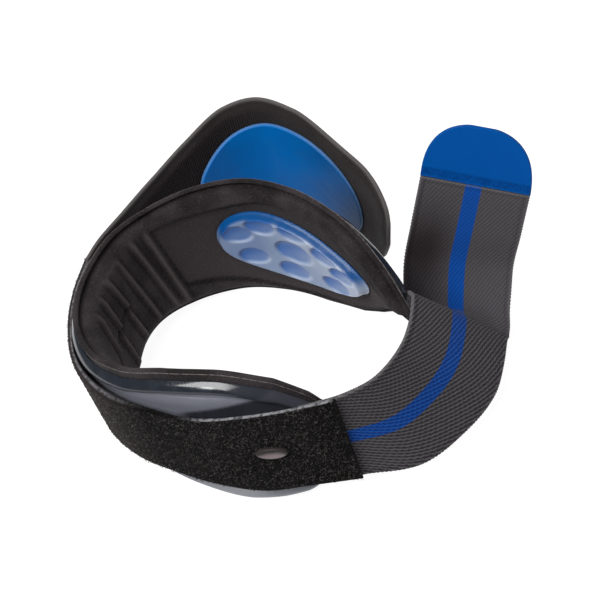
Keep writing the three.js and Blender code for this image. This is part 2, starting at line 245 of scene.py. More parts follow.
# %% A standing wall
class Wall:
    """A standing ribbon: along is the distance run in plan, share the height from 0 to 1."""

    def __init__(self, rows):
        rows = np.array(rows, float)
        self.plan = smooth_curve(rows[:, :2])
        self.edges = smooth_curve(rows[:, 2:])
        self.ts, self.run = arc_table(self.plan)
        self.length = self.run[-1]

    def section(self, along):
        t = np.interp(along, self.run, self.ts)
        ahead = tangent(self.plan, t)
        outward = np.stack([ahead[..., 1], -ahead[..., 0]], axis=-1)
        lean, bottom, top = np.moveaxis(self.edges(t), -1, 0)
        return self.plan(t), outward, lean, np.maximum(bottom, 0), top

    def point(self, along, share, out):
        place, outward, lean, bottom, top = self.section(along)
        flat = place + outward * (out + lean * (2 * share - 1))[..., None]
        return np.concatenate([flat, (bottom + (top - bottom) * share)[..., None]], axis=-1)

    def height(self, along, share):
        _, _, _, bottom, top = self.section(along)
        return bottom + (top - bottom) * share

    def share_at(self, along, height):
        _, _, _, bottom, top = self.section(along)
        return (height - bottom) / (top - bottom)

    def edge_distance(self, along, share):
        _, _, _, bottom, top = self.section(along)
        up = (top - bottom) * np.minimum(share, 1 - share)
        return np.minimum(up, np.minimum(along, self.length - along))


# %% The clasp's own wall
# x, y, lean of the top edge, bottom, top: far tip, round the bend, near tip
CLASP = [
    (36.3, -18.8, 0, 19, 24.5), (33.3, -10, 0, 17.4, 37.2), (29, -1, 0, 11.2, 48), (23, 10, 0, 4.8, 55),
    (12, 27, 0, 0, 58), (-3, 42, 0, 0, 58), (-20, 49.5, -1.7, 0, 58), (-40, 49, -2.6, 1.2, 58),
    (-57, 41, 0, 4.6, 56.5), (-69, 26, 2, 4, 55), (-75, 6, 3.5, 3.4, 55), (-74, -13, 3, 6, 55),
    (-66, -30, 0.5, 7, 56.5), (-54, -42, -1, 3, 60), (-36.7, -54, -2.3, 0, 60.7),
    (-18.5, -61, -1.5, 1, 55), (-8, -63.5, 0, 8, 47), (-2, -64.5, 0, 15, 37),
]
clasp = Wall(CLASP)
print("clasp runs", round(clasp.length, 1), "mm from tip to tip")

# %% [markdown]
# A closed sheet is two grids, one for each face, that share their outermost rows. Towards
# those rows the thickness shrinks like a quarter circle, so every edge comes out rounded
# and catches a line of light, as a cut or moulded edge does. Each point also keeps notes,
# such as its place on the cloth in millimetres, which the finishes read later.

# %% Places over a sheet
def stations(length, step, fine, count=6):
    """Distances from 0 to length, evenly spaced but closer together at both ends."""
    quarter = fine * (1 - np.cos(np.linspace(0, math.pi / 2, count)))
    inner = np.linspace(fine, length - fine, max(2, round((length - 2 * fine) / step) + 1))
    return np.concatenate([quarter[:-1], inner, length - quarter[::-1][1:]])


def wall_grid(wall, height, along_step, up_step, fine):
    """Places over a wall: distances along it, and shares of its height from a usual height."""
    along = stations(wall.length, along_step, fine)[:, None]
    share = stations(height, up_step, fine)[None, :] / height
    return np.broadcast_arrays(along, share)


def rounding(distance, radius):
    """From 0 at an edge to 1 at a radius from it, along a quarter circle."""
    return np.sqrt(1 - (1 - np.clip(distance / radius, 0, 1)) ** 2)


def grid_quads(ids):
    return np.stack([ids[:-1, :-1], ids[1:, :-1], ids[1:, 1:], ids[:-1, 1:]], axis=-1).reshape(-1, 4)


print("steps over 6 mm:", np.round(stations(6, 1, 0.9), 2).tolist())


# %% Closed meshes
def solid_mesh(name, points, faces, notes):
    """An object from points in mm and arrays of faces, turned outwards, with notes as attributes."""
    volume = 0.0
    for group in faces:
        for k in range(1, group.shape[1] - 1):
            a, b, c = (points[group[:, corner]] for corner in (0, k, k + 1))
            volume += np.einsum("ij,ij->", a, np.cross(b, c))
    way = -1 if volume < 0 else 1
    mesh = bpy.data.meshes.new(name)
    corners = [face for group in faces for face in group[:, ::way].tolist()]
    mesh.from_pydata(((points - FOOTPRINT_MIDDLE) * METRE).tolist(), [], corners)
    mesh.shade_smooth()
    for label, values in notes.items():
        kind, field = ("FLOAT", "value") if values.ndim == 1 else ("FLOAT_VECTOR", "vector")
        attribute = mesh.attributes.new(label, kind, "POINT")
        attribute.data.foreach_set(field, values.astype(np.float32).ravel())
    piece = bpy.data.objects.new(name, mesh)
    bpy.context.scene.collection.objects.link(piece)
    return piece


def cut_corners(ids):
    """The quads of a grid, with its four corner quads cut from the corner inwards."""
    quads = grid_quads(ids)
    row = ids.shape[1] - 1
    corners = [0, len(quads) - 1, row - 1, len(quads) - row]
    cut = quads[corners]
    cut[2:] = np.roll(cut[2:], -1, axis=1)
    return [np.delete(quads, corners, axis=0), cut[:, [0, 1, 2]], cut[:, [0, 2, 3]]]


def closed_sheet(name, front, back, notes):
    """One closed mesh from the grids of its two faces. Each note is a pair of grids."""
    n, m = front.shape[:2]
    front_ids = np.arange(n * m).reshape(n, m)
    back_ids = front_ids.copy()
    back_ids[1:-1, 1:-1] = n * m + np.arange((n - 2) * (m - 2)).reshape(n - 2, m - 2)

    def joined(on_front, on_back):
        width = on_front.shape[2:]
        inner = on_back[1:-1, 1:-1]
        return np.concatenate([on_front.reshape(-1, *width), inner.reshape(-1, *width)])

    faces = cut_corners(front_ids) + [group[:, ::-1] for group in cut_corners(back_ids)]
    kept = {label: joined(*pair) for label, pair in notes.items()}
    return solid_mesh(name, joined(front, back), faces, kept)


# %% Notes and ties to the solids
def both(values):
    return values, values


def on_front(values):
    return values, np.zeros_like(values)


def on_back(values):
    return np.zeros_like(values), values


def finish_piece(piece, node, finish):
    """Gives a piece its finish and ties it to the solid that it stands for."""
    piece.data.materials.append(finish)
    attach(piece, "root")
    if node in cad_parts:
        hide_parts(node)
    print(piece.name, "has", len(piece.data.polygons), "faces")


def lay_of(along, height):
    """The note that says where a point lies on its cloth, in mm."""
    along, height = np.broadcast_arrays(along, height)
    return np.stack([along, height, np.zeros_like(along)], axis=-1)


# %% [markdown]
# Four effects come back in several finishes, so each is built once as a node group: woven
# lines for webbing and ribbed lining, brushed fuzz for the black cloths, a fine grain for
# moulded plastic, and slow clouds for gel. A group only puts out values that change over
# the surface, and each finish gives it sizes of its own.

# %% Parts of an effect
def new_effect(name, inputs, outputs):
    """An empty node group with named sockets."""
    tree = bpy.data.node_groups.new(name, "ShaderNodeTree")
    for label, kind, value in inputs:
        socket = tree.interface.new_socket(label, in_out="INPUT", socket_type=kind)
        if value is not None:
            socket.default_value = value
    for label in outputs:
        tree.interface.new_socket(label, in_out="OUTPUT", socket_type="NodeSocketFloat")
    start = tree.nodes.new("NodeGroupInput")
    end = tree.nodes.new("NodeGroupOutput")
    return tree, start.outputs, end.inputs


def speckle(tree, place, scale, detail=2.0):
    inputs = {"Vector": place, "Scale": scale, "Detail": detail}
    return add_node(tree, "ShaderNodeTexNoise", inputs).outputs[0]


FLOAT = "NodeSocketFloat"
VECTOR = "NodeSocketVector"


# %% Effect: woven lines
TURN = 2 * math.pi


def wave(tree, turns):
    """A sine wave between 0 and 1 that comes back with every whole turn."""
    sine = calc(tree, "SINE", calc(tree, "MULTIPLY", turns, TURN))
    return calc(tree, "MULTIPLY_ADD", sine, 0.5, 0.5)


def build_woven_lines():
    """Ridges of yarn over the cloth's own millimetres, broken into floats like a twill."""
    inputs = [
        ("Lay", VECTOR, None), ("Lines Along", FLOAT, 0.3), ("Lines Across", FLOAT, 0.7),
        ("Floats", FLOAT, 0.5),
    ]
    tree, given, out = new_effect("woven lines", inputs, ["Height", "Tone"])
    part = add_node(tree, "ShaderNodeSeparateXYZ", {0: given["Lay"]}).outputs
    uneven = speckle(tree, given["Lay"], 0.35)
    slope = calc(tree, "MULTIPLY", part["X"], given["Lines Along"])
    phase = calc(tree, "MULTIPLY_ADD", part["Y"], given["Lines Across"], slope)
    ridge = wave(tree, calc(tree, "MULTIPLY_ADD", uneven, 0.35, phase))
    step = calc(tree, "MULTIPLY", calc(tree, "FLOOR", phase), 0.5)
    dash = wave(tree, calc(tree, "MULTIPLY_ADD", part["X"], given["Floats"], step))
    woven = calc(tree, "MULTIPLY", ridge, calc(tree, "MULTIPLY_ADD", dash, 0.6, 0.4))
    yarn = calc(tree, "SUBTRACT", speckle(tree, given["Lay"], 2.2), 0.5)
    tree.links.new(woven, out["Height"])
    tree.links.new(calc(tree, "MULTIPLY_ADD", yarn, 0.7, woven), out["Tone"])
    return tree


# %% Effect: brushed fuzz
def build_brushed_fuzz():
    """Short brushed fibre: fine height, bright fibre ends, and slow patches of nap."""
    inputs = [("Place", VECTOR, None), ("Fibres", FLOAT, 900.0)]
    tree, given, out = new_effect("brushed fuzz", inputs, ["Height", "Specks", "Nap"])
    fine = speckle(tree, given["Place"], given["Fibres"], 3.0)
    ends = speckle(tree, given["Place"], calc(tree, "MULTIPLY", given["Fibres"], 1.9), 1.0)
    nap = speckle(tree, given["Place"], calc(tree, "MULTIPLY", given["Fibres"], 0.09), 2.0)
    tree.links.new(fine, out["Height"])
    tree.links.new(ramp(tree, ends, 0.55, 0.75), out["Specks"])
    tree.links.new(ramp(tree, nap, 0.3, 0.7), out["Nap"])
    return tree


# %% Effects: moulded grain and gel clouds
def build_moulded_grain():
    """The fine skin of moulded plastic and the faint wear that dulls its gloss."""
    inputs = [("Place", VECTOR, None), ("Grain", FLOAT, 1500.0)]
    tree, given, out = new_effect("moulded grain", inputs, ["Height", "Wear"])
    skin = speckle(tree, given["Place"], given["Grain"], 2.0)
    drawn = add_node(tree, "ShaderNodeMapping", {"Vector": given["Place"], "Scale": (1, 1, 0.12)})
    wear = speckle(tree, drawn.outputs[0], calc(tree, "MULTIPLY", given["Grain"], 0.15), 4.0)
    tree.links.new(skin, out["Height"])
    tree.links.new(ramp(tree, wear, 0.35, 0.75), out["Wear"])
    return tree


def build_gel_clouds():
    """Slow clouding inside a cast gel, and the slight waviness of its skin."""
    inputs = [("Place", VECTOR, None), ("Clouds", FLOAT, 60.0)]
    tree, given, out = new_effect("gel clouds", inputs, ["Cloud", "Height"])
    cloud = speckle(tree, given["Place"], given["Clouds"], 1.0)
    skin = speckle(tree, given["Place"], calc(tree, "MULTIPLY", given["Clouds"], 3.0), 1.0)
    tree.links.new(ramp(tree, cloud, 0.3, 0.7), out["Cloud"])
    tree.links.new(skin, out["Height"])
    return tree


# %% The effects in use
EFFECTS = {
    "woven lines": build_woven_lines(),
    "brushed fuzz": build_brushed_fuzz(),
    "moulded grain": build_moulded_grain(),
    "gel clouds": build_gel_clouds(),
}
print("effects:", sorted(EFFECTS))


# %% Reading effects and notes in a finish
def use_effect(tree, name, inputs):
    return add_node(tree, "ShaderNodeGroup", inputs, node_tree=EFFECTS[name]).outputs


def place_on(tree):
    return add_node(tree, "ShaderNodeTexCoord").outputs["Object"]


def note(tree, name, field="Fac"):
    return add_node(tree, "ShaderNodeAttribute", attribute_name=name).outputs[field]


def raise_surface(tree, shader, height, depth):
    made = add_node(tree, "ShaderNodeBump", {"Height": height, "Distance": depth, "Strength": 1.0})
    tree.links.new(made.outputs[0], shader.inputs["Normal"])


def set_colour(tree, shader, colour):
    tree.links.new(colour, shader.inputs["Base Color"])


# %% [markdown]
# The lining is black brushed cloth over foam, pressed in a mould. Its flat edge has a bead
# and a groove, then the foam rises in a round shoulder. A sunk panel holds the gel pad, and
# upright ribs let the foam bend round the arm. A cloth simulation would lose these pressed
# lines, so the heights are written directly: each is a small function of the distance from
# an edge or a line.

# %% Lining: measures of the pressed foam
EDGE_THICK = 1.8
PAD_RISE = 3.6
SHOULDER = {"start": 2.4, "run": 5.5}
EDGE_BEAD = {"at": 0.9, "width": 0.55, "rise": 0.35}
EDGE_GROOVE = {"at": 2.0, "width": 0.5, "depth": 0.9}
PANEL_DEPTH = 1.1
PANEL_STEP = 0.45
PANEL_LIP = {"at": -1.6, "width": 1.3, "rise": 0.3}
RIB = {"half": 2.0, "rise": 1.5, "groove": 0.6, "groove_out": 0.5, "groove_width": 0.7}
# distances from the edge over which the pressed forms fade in
FADE = {"panel": (3, 7), "ribs": (4, 9), "rib_lines": (5, 9)}
# along at half height, slant from half height to an edge: the first borders the panel
RIBS = [(117.0, 5.4), (123.4, 6.6), (133.9, 6.8), (145.2, 6.3), (157.6, 2.7), (172.0, -4.0)]
# along, lower and upper line of the sunk panel
PANEL = [
    (8, 20, 24), (13, 19.5, 27), (20, 15, 33), (28, 11, 40), (36, 8, 45.2), (48, 6, 48.7),
    (59, 5.2, 50.5), (68, 5.3, 50.2), (78, 7, 48.8), (89, 9, 47.6), (104, 13, 48.5), (120, 16.5, 50),
]
PANEL_END = {"along": 114.0, "slant": 5.4}
# the folded patch in the bend: its run along the wall, and the line of its lower edge
FOLD = {
    "from": 139, "to": 178, "start": 2, "end": 20,
    "height": 33.1, "fall": 0.05, "rise": 1.7, "soft": 0.4,
}
# the painted shade in the hollow under the patch: its ends along the wall, and how it begins and fades
# downwards
HOLLOW = {"start": 4, "end": 10, "begins": (-0.3, 0.6), "fades": (1.0, 7.0)}
# along where the binding seam changes walls, and its distance from the top edge before and after
BINDING = {"from": 150, "to": 185, "far": 0.25, "near": 1.1}

panel_curve = smooth_curve(PANEL)(np.linspace(0, 1, 200))
print("the sunk panel is at most", round(np.ptp(panel_curve[:, 1:], axis=1).max(), 1), "mm high")


# %% Lining: the foam's height at a place
def panel_depth(along, height, share):
    """How deep inside the sunk panel a place is, in mm: negative outside it."""
    low = np.interp(along, panel_curve[:, 0], panel_curve[:, 1])
    high = np.interp(along, panel_curve[:, 0], panel_curve[:, 2])
    end = PANEL_END["along"] + PANEL_END["slant"] * (2 * share - 1) - along
    tip = along - PANEL[0][0]
    return np.minimum(np.minimum(high - height, height - low), np.minimum(end, tip))


def fold_height(along, height):
    """How far a place lies above the lower edge of the folded patch in the bend."""
    return height - FOLD["height"] + FOLD["fall"] * (along - FOLD["from"])


def foam_rise(along, share):
    """Height of the pressed foam above the lining's flat edge."""
    edge = clasp.edge_distance(along, share)
    height = clasp.height(along, share)
    full = smooth_step(edge, *FADE["panel"])
    rise = PAD_RISE * rounding(edge - SHOULDER["start"], SHOULDER["run"])
    rise = rise + EDGE_BEAD["rise"] * bump(edge, EDGE_BEAD["at"], EDGE_BEAD["width"])
    rise = rise - EDGE_GROOVE["depth"] * bump(edge, EDGE_GROOVE["at"], EDGE_GROOVE["width"])
    inside = panel_depth(along, height, share)
    rise = rise - PANEL_DEPTH * smooth_step(inside, -PANEL_STEP, PANEL_STEP) * full
    rise = rise + PANEL_LIP["rise"] * bump(inside, PANEL_LIP["at"], PANEL_LIP["width"]) * full
    for middle, slant in RIBS:
        offset = np.abs(along - middle - slant * (2 * share - 1))
        swell = RIB["rise"] * (0.5 + 0.5 * np.cos(np.clip(offset / RIB["half"], 0, 1) * math.pi))
        foot = RIB["half"] + RIB["groove_out"]
        swell = swell - RIB["groove"] * bump(offset, foot, RIB["groove_width"])
        rise = rise + swell * smooth_step(edge, *FADE["ribs"])
    patch = smooth_step(fold_height(along, height), -FOLD["soft"], FOLD["soft"])
    patch = patch * smooth_step(along, FOLD["from"] - FOLD["start"], FOLD["from"] + FOLD["start"])
    patch = patch * (1 - smooth_step(along, FOLD["to"], FOLD["to"] + FOLD["end"]))
    return rise + FOLD["rise"] * patch * full


# %% Lining: lines and hollows for the finish
def rib_lines(along, share, away, width):
    """1 along lines at a distance from the crest of each rib, and 0 elsewhere."""
    lines = np.zeros_like(along)
    for middle, slant in RIBS:
        offset = np.abs(along - middle - slant * (2 * share - 1))
        lines = np.maximum(lines, bump(offset, away, width))
    return lines * smooth_step(clasp.edge_distance(along, share), *FADE["rib_lines"])


def fold_hollow(along, height):
    """1 in the hollow under the lower edge of the folded patch, where shade is painted, fading
    downwards.
    """
    ends = smooth_step(along, FOLD["from"], FOLD["from"] + HOLLOW["start"])
    ends = ends * (1 - smooth_step(along, FOLD["to"], FOLD["to"] + HOLLOW["end"]))
    under = -fold_height(along, height)
    return smooth_step(under, *HOLLOW["begins"]) * (1 - smooth_step(under, *HOLLOW["fades"])) * ends


# %% Lining: mesh
NOMINAL_HEIGHT = 56
LINER_ROUND = 0.8
# widths of the painted shade lines in the grooves, and where they lie beside the panel's border and the
# ribs
GROOVE_SHADE_LINES = {
    "panel": 0.55, "panel_at": -0.1, "edge": 0.5, "ribs": 0.7, "ribs_out": 0.4, "rib_share": 0.7,
}
PANEL_CLOTH = (-0.5, 1.5)
# width of the painted highlight along the crest of each rib
CREST_HIGHLIGHT_WIDTH = 0.85
along, share = wall_grid(clasp, NOMINAL_HEIGHT, along_step=0.9, up_step=0.75, fine=0.9)
edge = clasp.edge_distance(along, share)
inner = EDGE_THICK + foam_rise(along, share)
middle = -inner / 2
half = inner / 2 * rounding(edge, LINER_ROUND)
height = clasp.height(along, share)
inside = panel_depth(along, height, share)
beside_ribs = rib_lines(along, share, RIB["half"] + GROOVE_SHADE_LINES["ribs_out"], GROOVE_SHADE_LINES["ribs"])
# painted shade in the grooves: at the panel's border, in the edge groove, beside the ribs and in the
# hollow under the fold
shade_in_grooves = np.maximum(
    bump(inside, GROOVE_SHADE_LINES["panel_at"], GROOVE_SHADE_LINES["panel"]),
    bump(edge, EDGE_GROOVE["at"], GROOVE_SHADE_LINES["edge"]))
shade_in_grooves = np.maximum(shade_in_grooves, GROOVE_SHADE_LINES["rib_share"] * beside_ribs)
shade_in_grooves = np.maximum(shade_in_grooves, fold_hollow(along, height))
on_near_wall = smooth_step(along, BINDING["from"], BINDING["to"])
binding_at = BINDING["far"] + (BINDING["near"] - BINDING["far"]) * on_near_wall
from_binding = np.where(share > 0.5, edge - binding_at, NOMINAL_HEIGHT)
liner = closed_sheet(
    "liner",
    clasp.point(along, share, middle - half),
    clasp.point(along, share, middle + half),
    {
        "panel": on_front(smooth_step(inside, *PANEL_CLOTH)),
        "painted_groove_shade": on_front(shade_in_grooves),
        "ridge": on_front(rib_lines(along, share, 0, CREST_HIGHLIGHT_WIDTH)),
        "from_binding": both(from_binding),
        "binding": on_back(np.ones_like(edge)),
    })
print("the lining is up to", round(inner.max(), 1), "mm thick")

# %% Lining: brushed black cloth
cloth, tree, shader = new_finish(
    "brushed lining", Roughness=0.95, Sheen_Weight=0.05, Sheen_Roughness=0.5, Sheen_Tint=grey(0.8),
    Specular_IOR_Level=0.05)
fuzz = use_effect(tree, "brushed fuzz", {"Place": place_on(tree), "Fibres": 850.0})
black = mix_colours(tree, fuzz["Nap"], linear(31, 28, 29), linear(50, 45, 47))
black = mix_colours(tree, note(tree, "panel"), black, linear(52, 47, 48))
# painted highlight on the crests of the ribs
black = tint(tree, black, linear(78, 71, 71), note(tree, "ridge"), 0.85)
# painted shade in the grooves and in the hollow under the fold
black = tint(tree, black, linear(12, 10, 11), note(tree, "painted_groove_shade"), 0.85)
flecked = tint(tree, black, linear(92, 86, 86), fuzz["Specks"], 0.2)
thread = ramp(tree, calc(tree, "ABSOLUTE", note(tree, "from_binding")), 0.08, 0.22, 1.0, 0.0)
thread = calc(tree, "MULTIPLY", thread, ramp(tree, fuzz["Height"], 0.35, 0.6, 0.25, 0.85))
thread = calc(tree, "MULTIPLY", thread, note(tree, "binding"))
set_colour(tree, shader, mix_colours(tree, thread, flecked, linear(128, 121, 118)))
raise_surface(tree, shader, fuzz["Height"], 0.0005)
finish_piece(liner, "liner", cloth)

# %% [markdown]
# Both gel pads are cast pieces with a sloped rim and a gently domed face. Rings of points
# from the middle to the rim follow the pad's leaf-shaped outline on the wall. The dimples
# of the friction pad are scooped: steep on one side and running out on the other. Cutting
# them with a boolean would leave ragged edges, so they are heights over the same rings.

# %% Gel pads: a ring mesh that lies on a wall
PAD_RINGS = 72
PAD_BACK_RINGS = 16
PAD_SIDES = 208
PAD_EDGE = 0.6
# cuts into the face fade out between these shares of the bevel's width
CUTS_FADE = (0.7, 1.4)


def pad_place(pad, reach, angle):
    """Distance along the wall and height of a point at a share of the pad's radius."""
    dx = reach * np.cos(angle)
    dy = reach * np.sin(angle) * (1 + pad["taper"] * dx)
    along = pad["along"] + pad["half_length"] * dx
    return along, pad["height"] + pad["tilt"] * dx + pad["half_height"] * dy


def ring_solid(name, rows, notes):
    """A closed mesh from rings of points, where the first and the last ring are single points."""
    rings, sides = rows.shape[:2]
    inner = 1 + np.arange((rings - 2) * sides).reshape(rings - 2, sides)
    around = np.concatenate([inner, inner[:, :1]], axis=1)
    last = inner[-1, -1] + 1
    start = np.stack([np.zeros(sides, int), around[0, :-1], around[0, 1:]], axis=-1)
    end = np.stack([np.full(sides, last), around[-1, 1:], around[-1, :-1]], axis=-1)

    def listed(values):
        between = values[1:-1].reshape(-1, *values.shape[2:])
        return np.concatenate([values[:1, 0], between, values[-1:, 0]])

    kept = {label: listed(values) for label, values in notes.items()}
    return solid_mesh(name, listed(rows), [grid_quads(around), start, end], kept)


# %% Gel pads: the pad itself
def pad_solid(name, wall, pad, seat, relief):
    """A gel pad on the inner face of a wall. relief gives cuts into its face and notes."""
    angle = np.linspace(0, TURN, PAD_SIDES, endpoint=False)[None, :]
    out = np.sin(np.linspace(0, math.pi / 2, PAD_RINGS))
    back = np.linspace(1, 0, PAD_BACK_RINGS)
    reach, angle = np.broadcast_arrays(np.concatenate([out, back])[:, None], angle)
    along, height = pad_place(pad, reach, angle)
    radius = 1 / np.hypot(np.cos(angle) / pad["half_length"], np.sin(angle) / pad["half_height"])
    from_rim = (1 - reach) * radius
    face = smooth_step(from_rim, 0, pad["bevel"])
    cut, notes = relief(along - pad["along"], height - pad["height"])
    cut = cut * smooth_step(from_rim, *(pad["bevel"] * part for part in CUTS_FADE))
    thick = PAD_EDGE + (pad["rise"] - PAD_EDGE + pad["crown"] * (1 - reach**2) - cut) * face
    is_front = (np.arange(len(reach)) < PAD_RINGS)[:, None]
    rows = wall.point(along, wall.share_at(along, height), -(seat + thick * is_front))
    return ring_solid(name, rows, {"from_rim": from_rim, "upper_side": np.sin(angle), **notes})


print("a pad has", PAD_RINGS + PAD_BACK_RINGS, "rings of", PAD_SIDES, "points")

# %% Friction pad: scooped dimples
PIECE_GAP = 0.3
FRICTION_PAD = {
    "along": 55.7, "height": 29.4, "half_length": 36.7, "half_height": 14.6,
    "taper": 0.25, "tilt": 2.8, "rise": 4.0, "crown": 0.3, "bevel": 1.8,
}
DIMPLE = {"half_length": 7.8, "half_height": 4.2, "depth": 1.7, "run_out": 0.35}
# along and height from the pad's middle, size
DIMPLES = [
    (26.1, 7.4, 1), (13.1, 12, 1), (-3.6, 12.6, 1), (20.9, -3.9, 1), (-1.8, 2.5, 1.25),
    (1.2, -7.9, 1.05), (-19.1, 6.9, 0.95), (-26.6, 0.8, 0.85), (-21.8, -6.3, 0.95),
]
# direction of a dimple's steep side, along and up
STEEP_WAY = (0.45, 0.89)
# the painted highlight crescent on a dimple's open side and the painted shade lip on its
# steep side, in shares of its radius, and how far round the dimple each of them reaches
LIT_CRESCENT = {"at": 0.97, "width": 0.14, "side": (0.1, 0.4)}
SHADED_LIP = {"at": 0.93, "width": 0.09, "side": (0.5, 0.85)}
# painted shade inside each dimple: least on its open side, deepest towards its steep side
BOWL_SHADE = {"least": 0.35, "rim": 0.1, "side": (0.2, 0.75)}
# the gel is painted paler towards the far upper end, as painted light
PAINTED_LIGHT_END = {"up": 0.8, "back": 0.6, "from": -8, "to": 26}


def scooped(along, height):
    """Cuts of the dimples, with notes for their painted shade, the painted highlight and shade at their
    edges, and the painted light at the far end.
    """
    cut = np.zeros_like(along)
    shade = np.zeros_like(along)
    lit_crescent = np.zeros_like(along)
    lip = np.zeros_like(along)
    for dimple_along, dimple_height, size in DIMPLES:
        a = (along - dimple_along) / (size * DIMPLE["half_length"])
        h = (height - dimple_height) / (size * DIMPLE["half_height"])
        reach = np.hypot(a, h)
        towards_steep = np.clip(0.5 + 0.5 * (STEEP_WAY[0] * a + STEEP_WAY[1] * h), 0, 1)
        bowl = np.sqrt(np.clip(1 - reach**2, 0, 1)) * (1 - DIMPLE["run_out"] * (1 - towards_steep))
        cut = np.maximum(cut, DIMPLE["depth"] * bowl)
        deeper = BOWL_SHADE["least"]
        deeper = deeper + (1 - deeper) * smooth_step(towards_steep, *BOWL_SHADE["side"])
        shade = np.maximum(shade, smooth_step(1 - reach, 0.0, BOWL_SHADE["rim"]) * deeper)
        open_side = 1 - smooth_step(towards_steep, *LIT_CRESCENT["side"])
        lit_crescent = np.maximum(lit_crescent, bump(reach, LIT_CRESCENT["at"], LIT_CRESCENT["width"]) * open_side)
        steep_side = smooth_step(towards_steep, *SHADED_LIP["side"])
        lip = np.maximum(lip, bump(reach, SHADED_LIP["at"], SHADED_LIP["width"]) * steep_side)
    painted_light_end = smooth_step(
        PAINTED_LIGHT_END["up"] * height - PAINTED_LIGHT_END["back"] * along, PAINTED_LIGHT_END["from"], PAINTED_LIGHT_END["to"])
    return cut, {"dimple": shade, "lit_crescent": lit_crescent, "lip": lip, "painted_light_end": painted_light_end}


seat = EDGE_THICK + PAD_RISE - PANEL_DEPTH + PIECE_GAP
friction_pad = pad_solid("friction_pad", clasp, FRICTION_PAD, seat, scooped)
longest = 2 * DIMPLE["half_length"] * max(size for _, _, size in DIMPLES)
print(len(DIMPLES), "dimples, the largest", longest, "mm long")

# %% Friction pad: pale gel
gel, tree, shader = new_finish(
    "pale friction gel", Roughness=0.3, Coat_Weight=0.2, Coat_Roughness=0.06, Specular_IOR_Level=0.2,
    Subsurface_Weight=0.08, Subsurface_Radius=(0.6, 0.8, 1.4), Subsurface_Scale=0.001)
clouds = use_effect(tree, "gel clouds", {"Place": place_on(tree), "Clouds": 55.0})
face = mix_colours(tree, clouds["Cloud"], linear(90, 110, 146), linear(104, 122, 152))
# painted light: paler towards the far upper end
face = mix_colours(tree, note(tree, "painted_light_end"), face, linear(146, 156, 174))
# blue inside the dimples, deepened towards the steep side as painted shade
face = mix_colours(tree, note(tree, "dimple"), face, linear(24, 82, 150))
# painted shade along the steep lip
face = tint(tree, face, linear(14, 40, 92), note(tree, "lip"), 0.6)
# painted highlight in the crescent on the open side
face = tint(tree, face, linear(168, 178, 196), note(tree, "lit_crescent"), 0.6)
side = ramp(tree, note(tree, "from_rim"), 0.9, 1.7, 1.0, 0.0)
side = calc(tree, "MULTIPLY", side, ramp(tree, note(tree, "upper_side"), 0.0, 0.45))
set_colour(tree, shader, mix_colours(tree, side, face, linear(4, 68, 124)))
raise_surface(tree, shader, clouds["Height"], 0.0003)
finish_piece(friction_pad, "friction_pad", gel)

# %% [markdown]
# The spring shell is the plastic wall that closes the clasp. It is glossy slate plastic with
# a bevelled rim. A thickened strip with a bevel would give every edge the same slope, so the
# rim is written as a height too. It leans upwards and mirrors the small highlight box as a
# bright streak. The face inside it is painted a lighter grey than the rim, and the lower lobe
# paler still, as a painted reflection of the pale floor.

# %% Spring shell: mesh
SHELL = {
    "inset_low": 0.8, "inset_high": 4.0, "most_inset": 0.3, "tip": 5.0, "round": 0.6,
    "rim": 3.3, "edge": 0.3, "crest": 3.2, "swell": 0.18, "face": 2.4, "step": 0.7,
}
# the band keeps the light off the face below this line, which climbs towards the near tip
SHADE = {"along": 235, "height": 44, "climb": 0.24, "soft": 0.8, "start": 7}
# heights between which the lower lobe passes into the face; the lobe is painted paler, as a painted
# reflection of the floor
LOBE = (6, 13)
# the gloss is lost on a line along the rim and towards the near tip
DULL = {"line": 0.55, "tip": 30, "run": 8}

run = stations(clasp.length - 2 * SHELL["tip"], 1.2, 1.0) + SHELL["tip"]
across = stations(NOMINAL_HEIGHT - SHELL["inset_low"] - SHELL["inset_high"], 0.8, 1.0)
across = across / across[-1]
along, across = np.broadcast_arrays(run[:, None], across[None, :])
_, _, _, bottom, top = clasp.section(along)
wall_height = top - bottom
low_share = np.minimum(SHELL["inset_low"] / wall_height, SHELL["most_inset"])
high_share = np.minimum(SHELL["inset_high"] / wall_height, SHELL["most_inset"])
share = low_share + (1 - low_share - high_share) * across
up = (1 - low_share - high_share) * wall_height * np.minimum(across, 1 - across)
edge = np.minimum(up, np.minimum(along - run[0], run[-1] - along))
slope = np.clip(edge / SHELL["rim"], 0, 1)
slope = slope + SHELL["swell"] * np.sin(math.pi * slope)
bevel = SHELL["edge"] + (SHELL["crest"] - SHELL["edge"]) * slope
drop = (SHELL["crest"] - SHELL["face"]) * smooth_step(edge, SHELL["rim"], SHELL["rim"] + SHELL["step"])
thick = (bevel - drop) * rounding(edge, SHELL["round"])
height = clasp.height(along, share)
upper_edge = np.where(across > 0.5, edge, NOMINAL_HEIGHT)
shade_line = SHADE["height"] + SHADE["climb"] * (along - SHADE["along"])
lobe = 1 - smooth_step(height, *LOBE)
shade = smooth_step(shade_line - height, -SHADE["soft"], SHADE["soft"])
shade = shade * smooth_step(along, SHADE["along"] - SHADE["start"], SHADE["along"]) * (1 - lobe)
tip_start = run[-1] - DULL["tip"]
at_tip = smooth_step(along, tip_start, tip_start + DULL["run"])
dull = np.maximum(bump(edge, SHELL["rim"], DULL["line"]), at_tip)
shell = closed_sheet(
    "shell",
    clasp.point(along, share, PIECE_GAP + thick),
    clasp.point(along, share, np.full_like(thick, PIECE_GAP)),
    {"edge": both(upper_edge), "shade": both(shade), "dull": both(dull), "lobe": both(lobe)})
print("the shell is up to", round(thick.max(), 1), "mm thick")

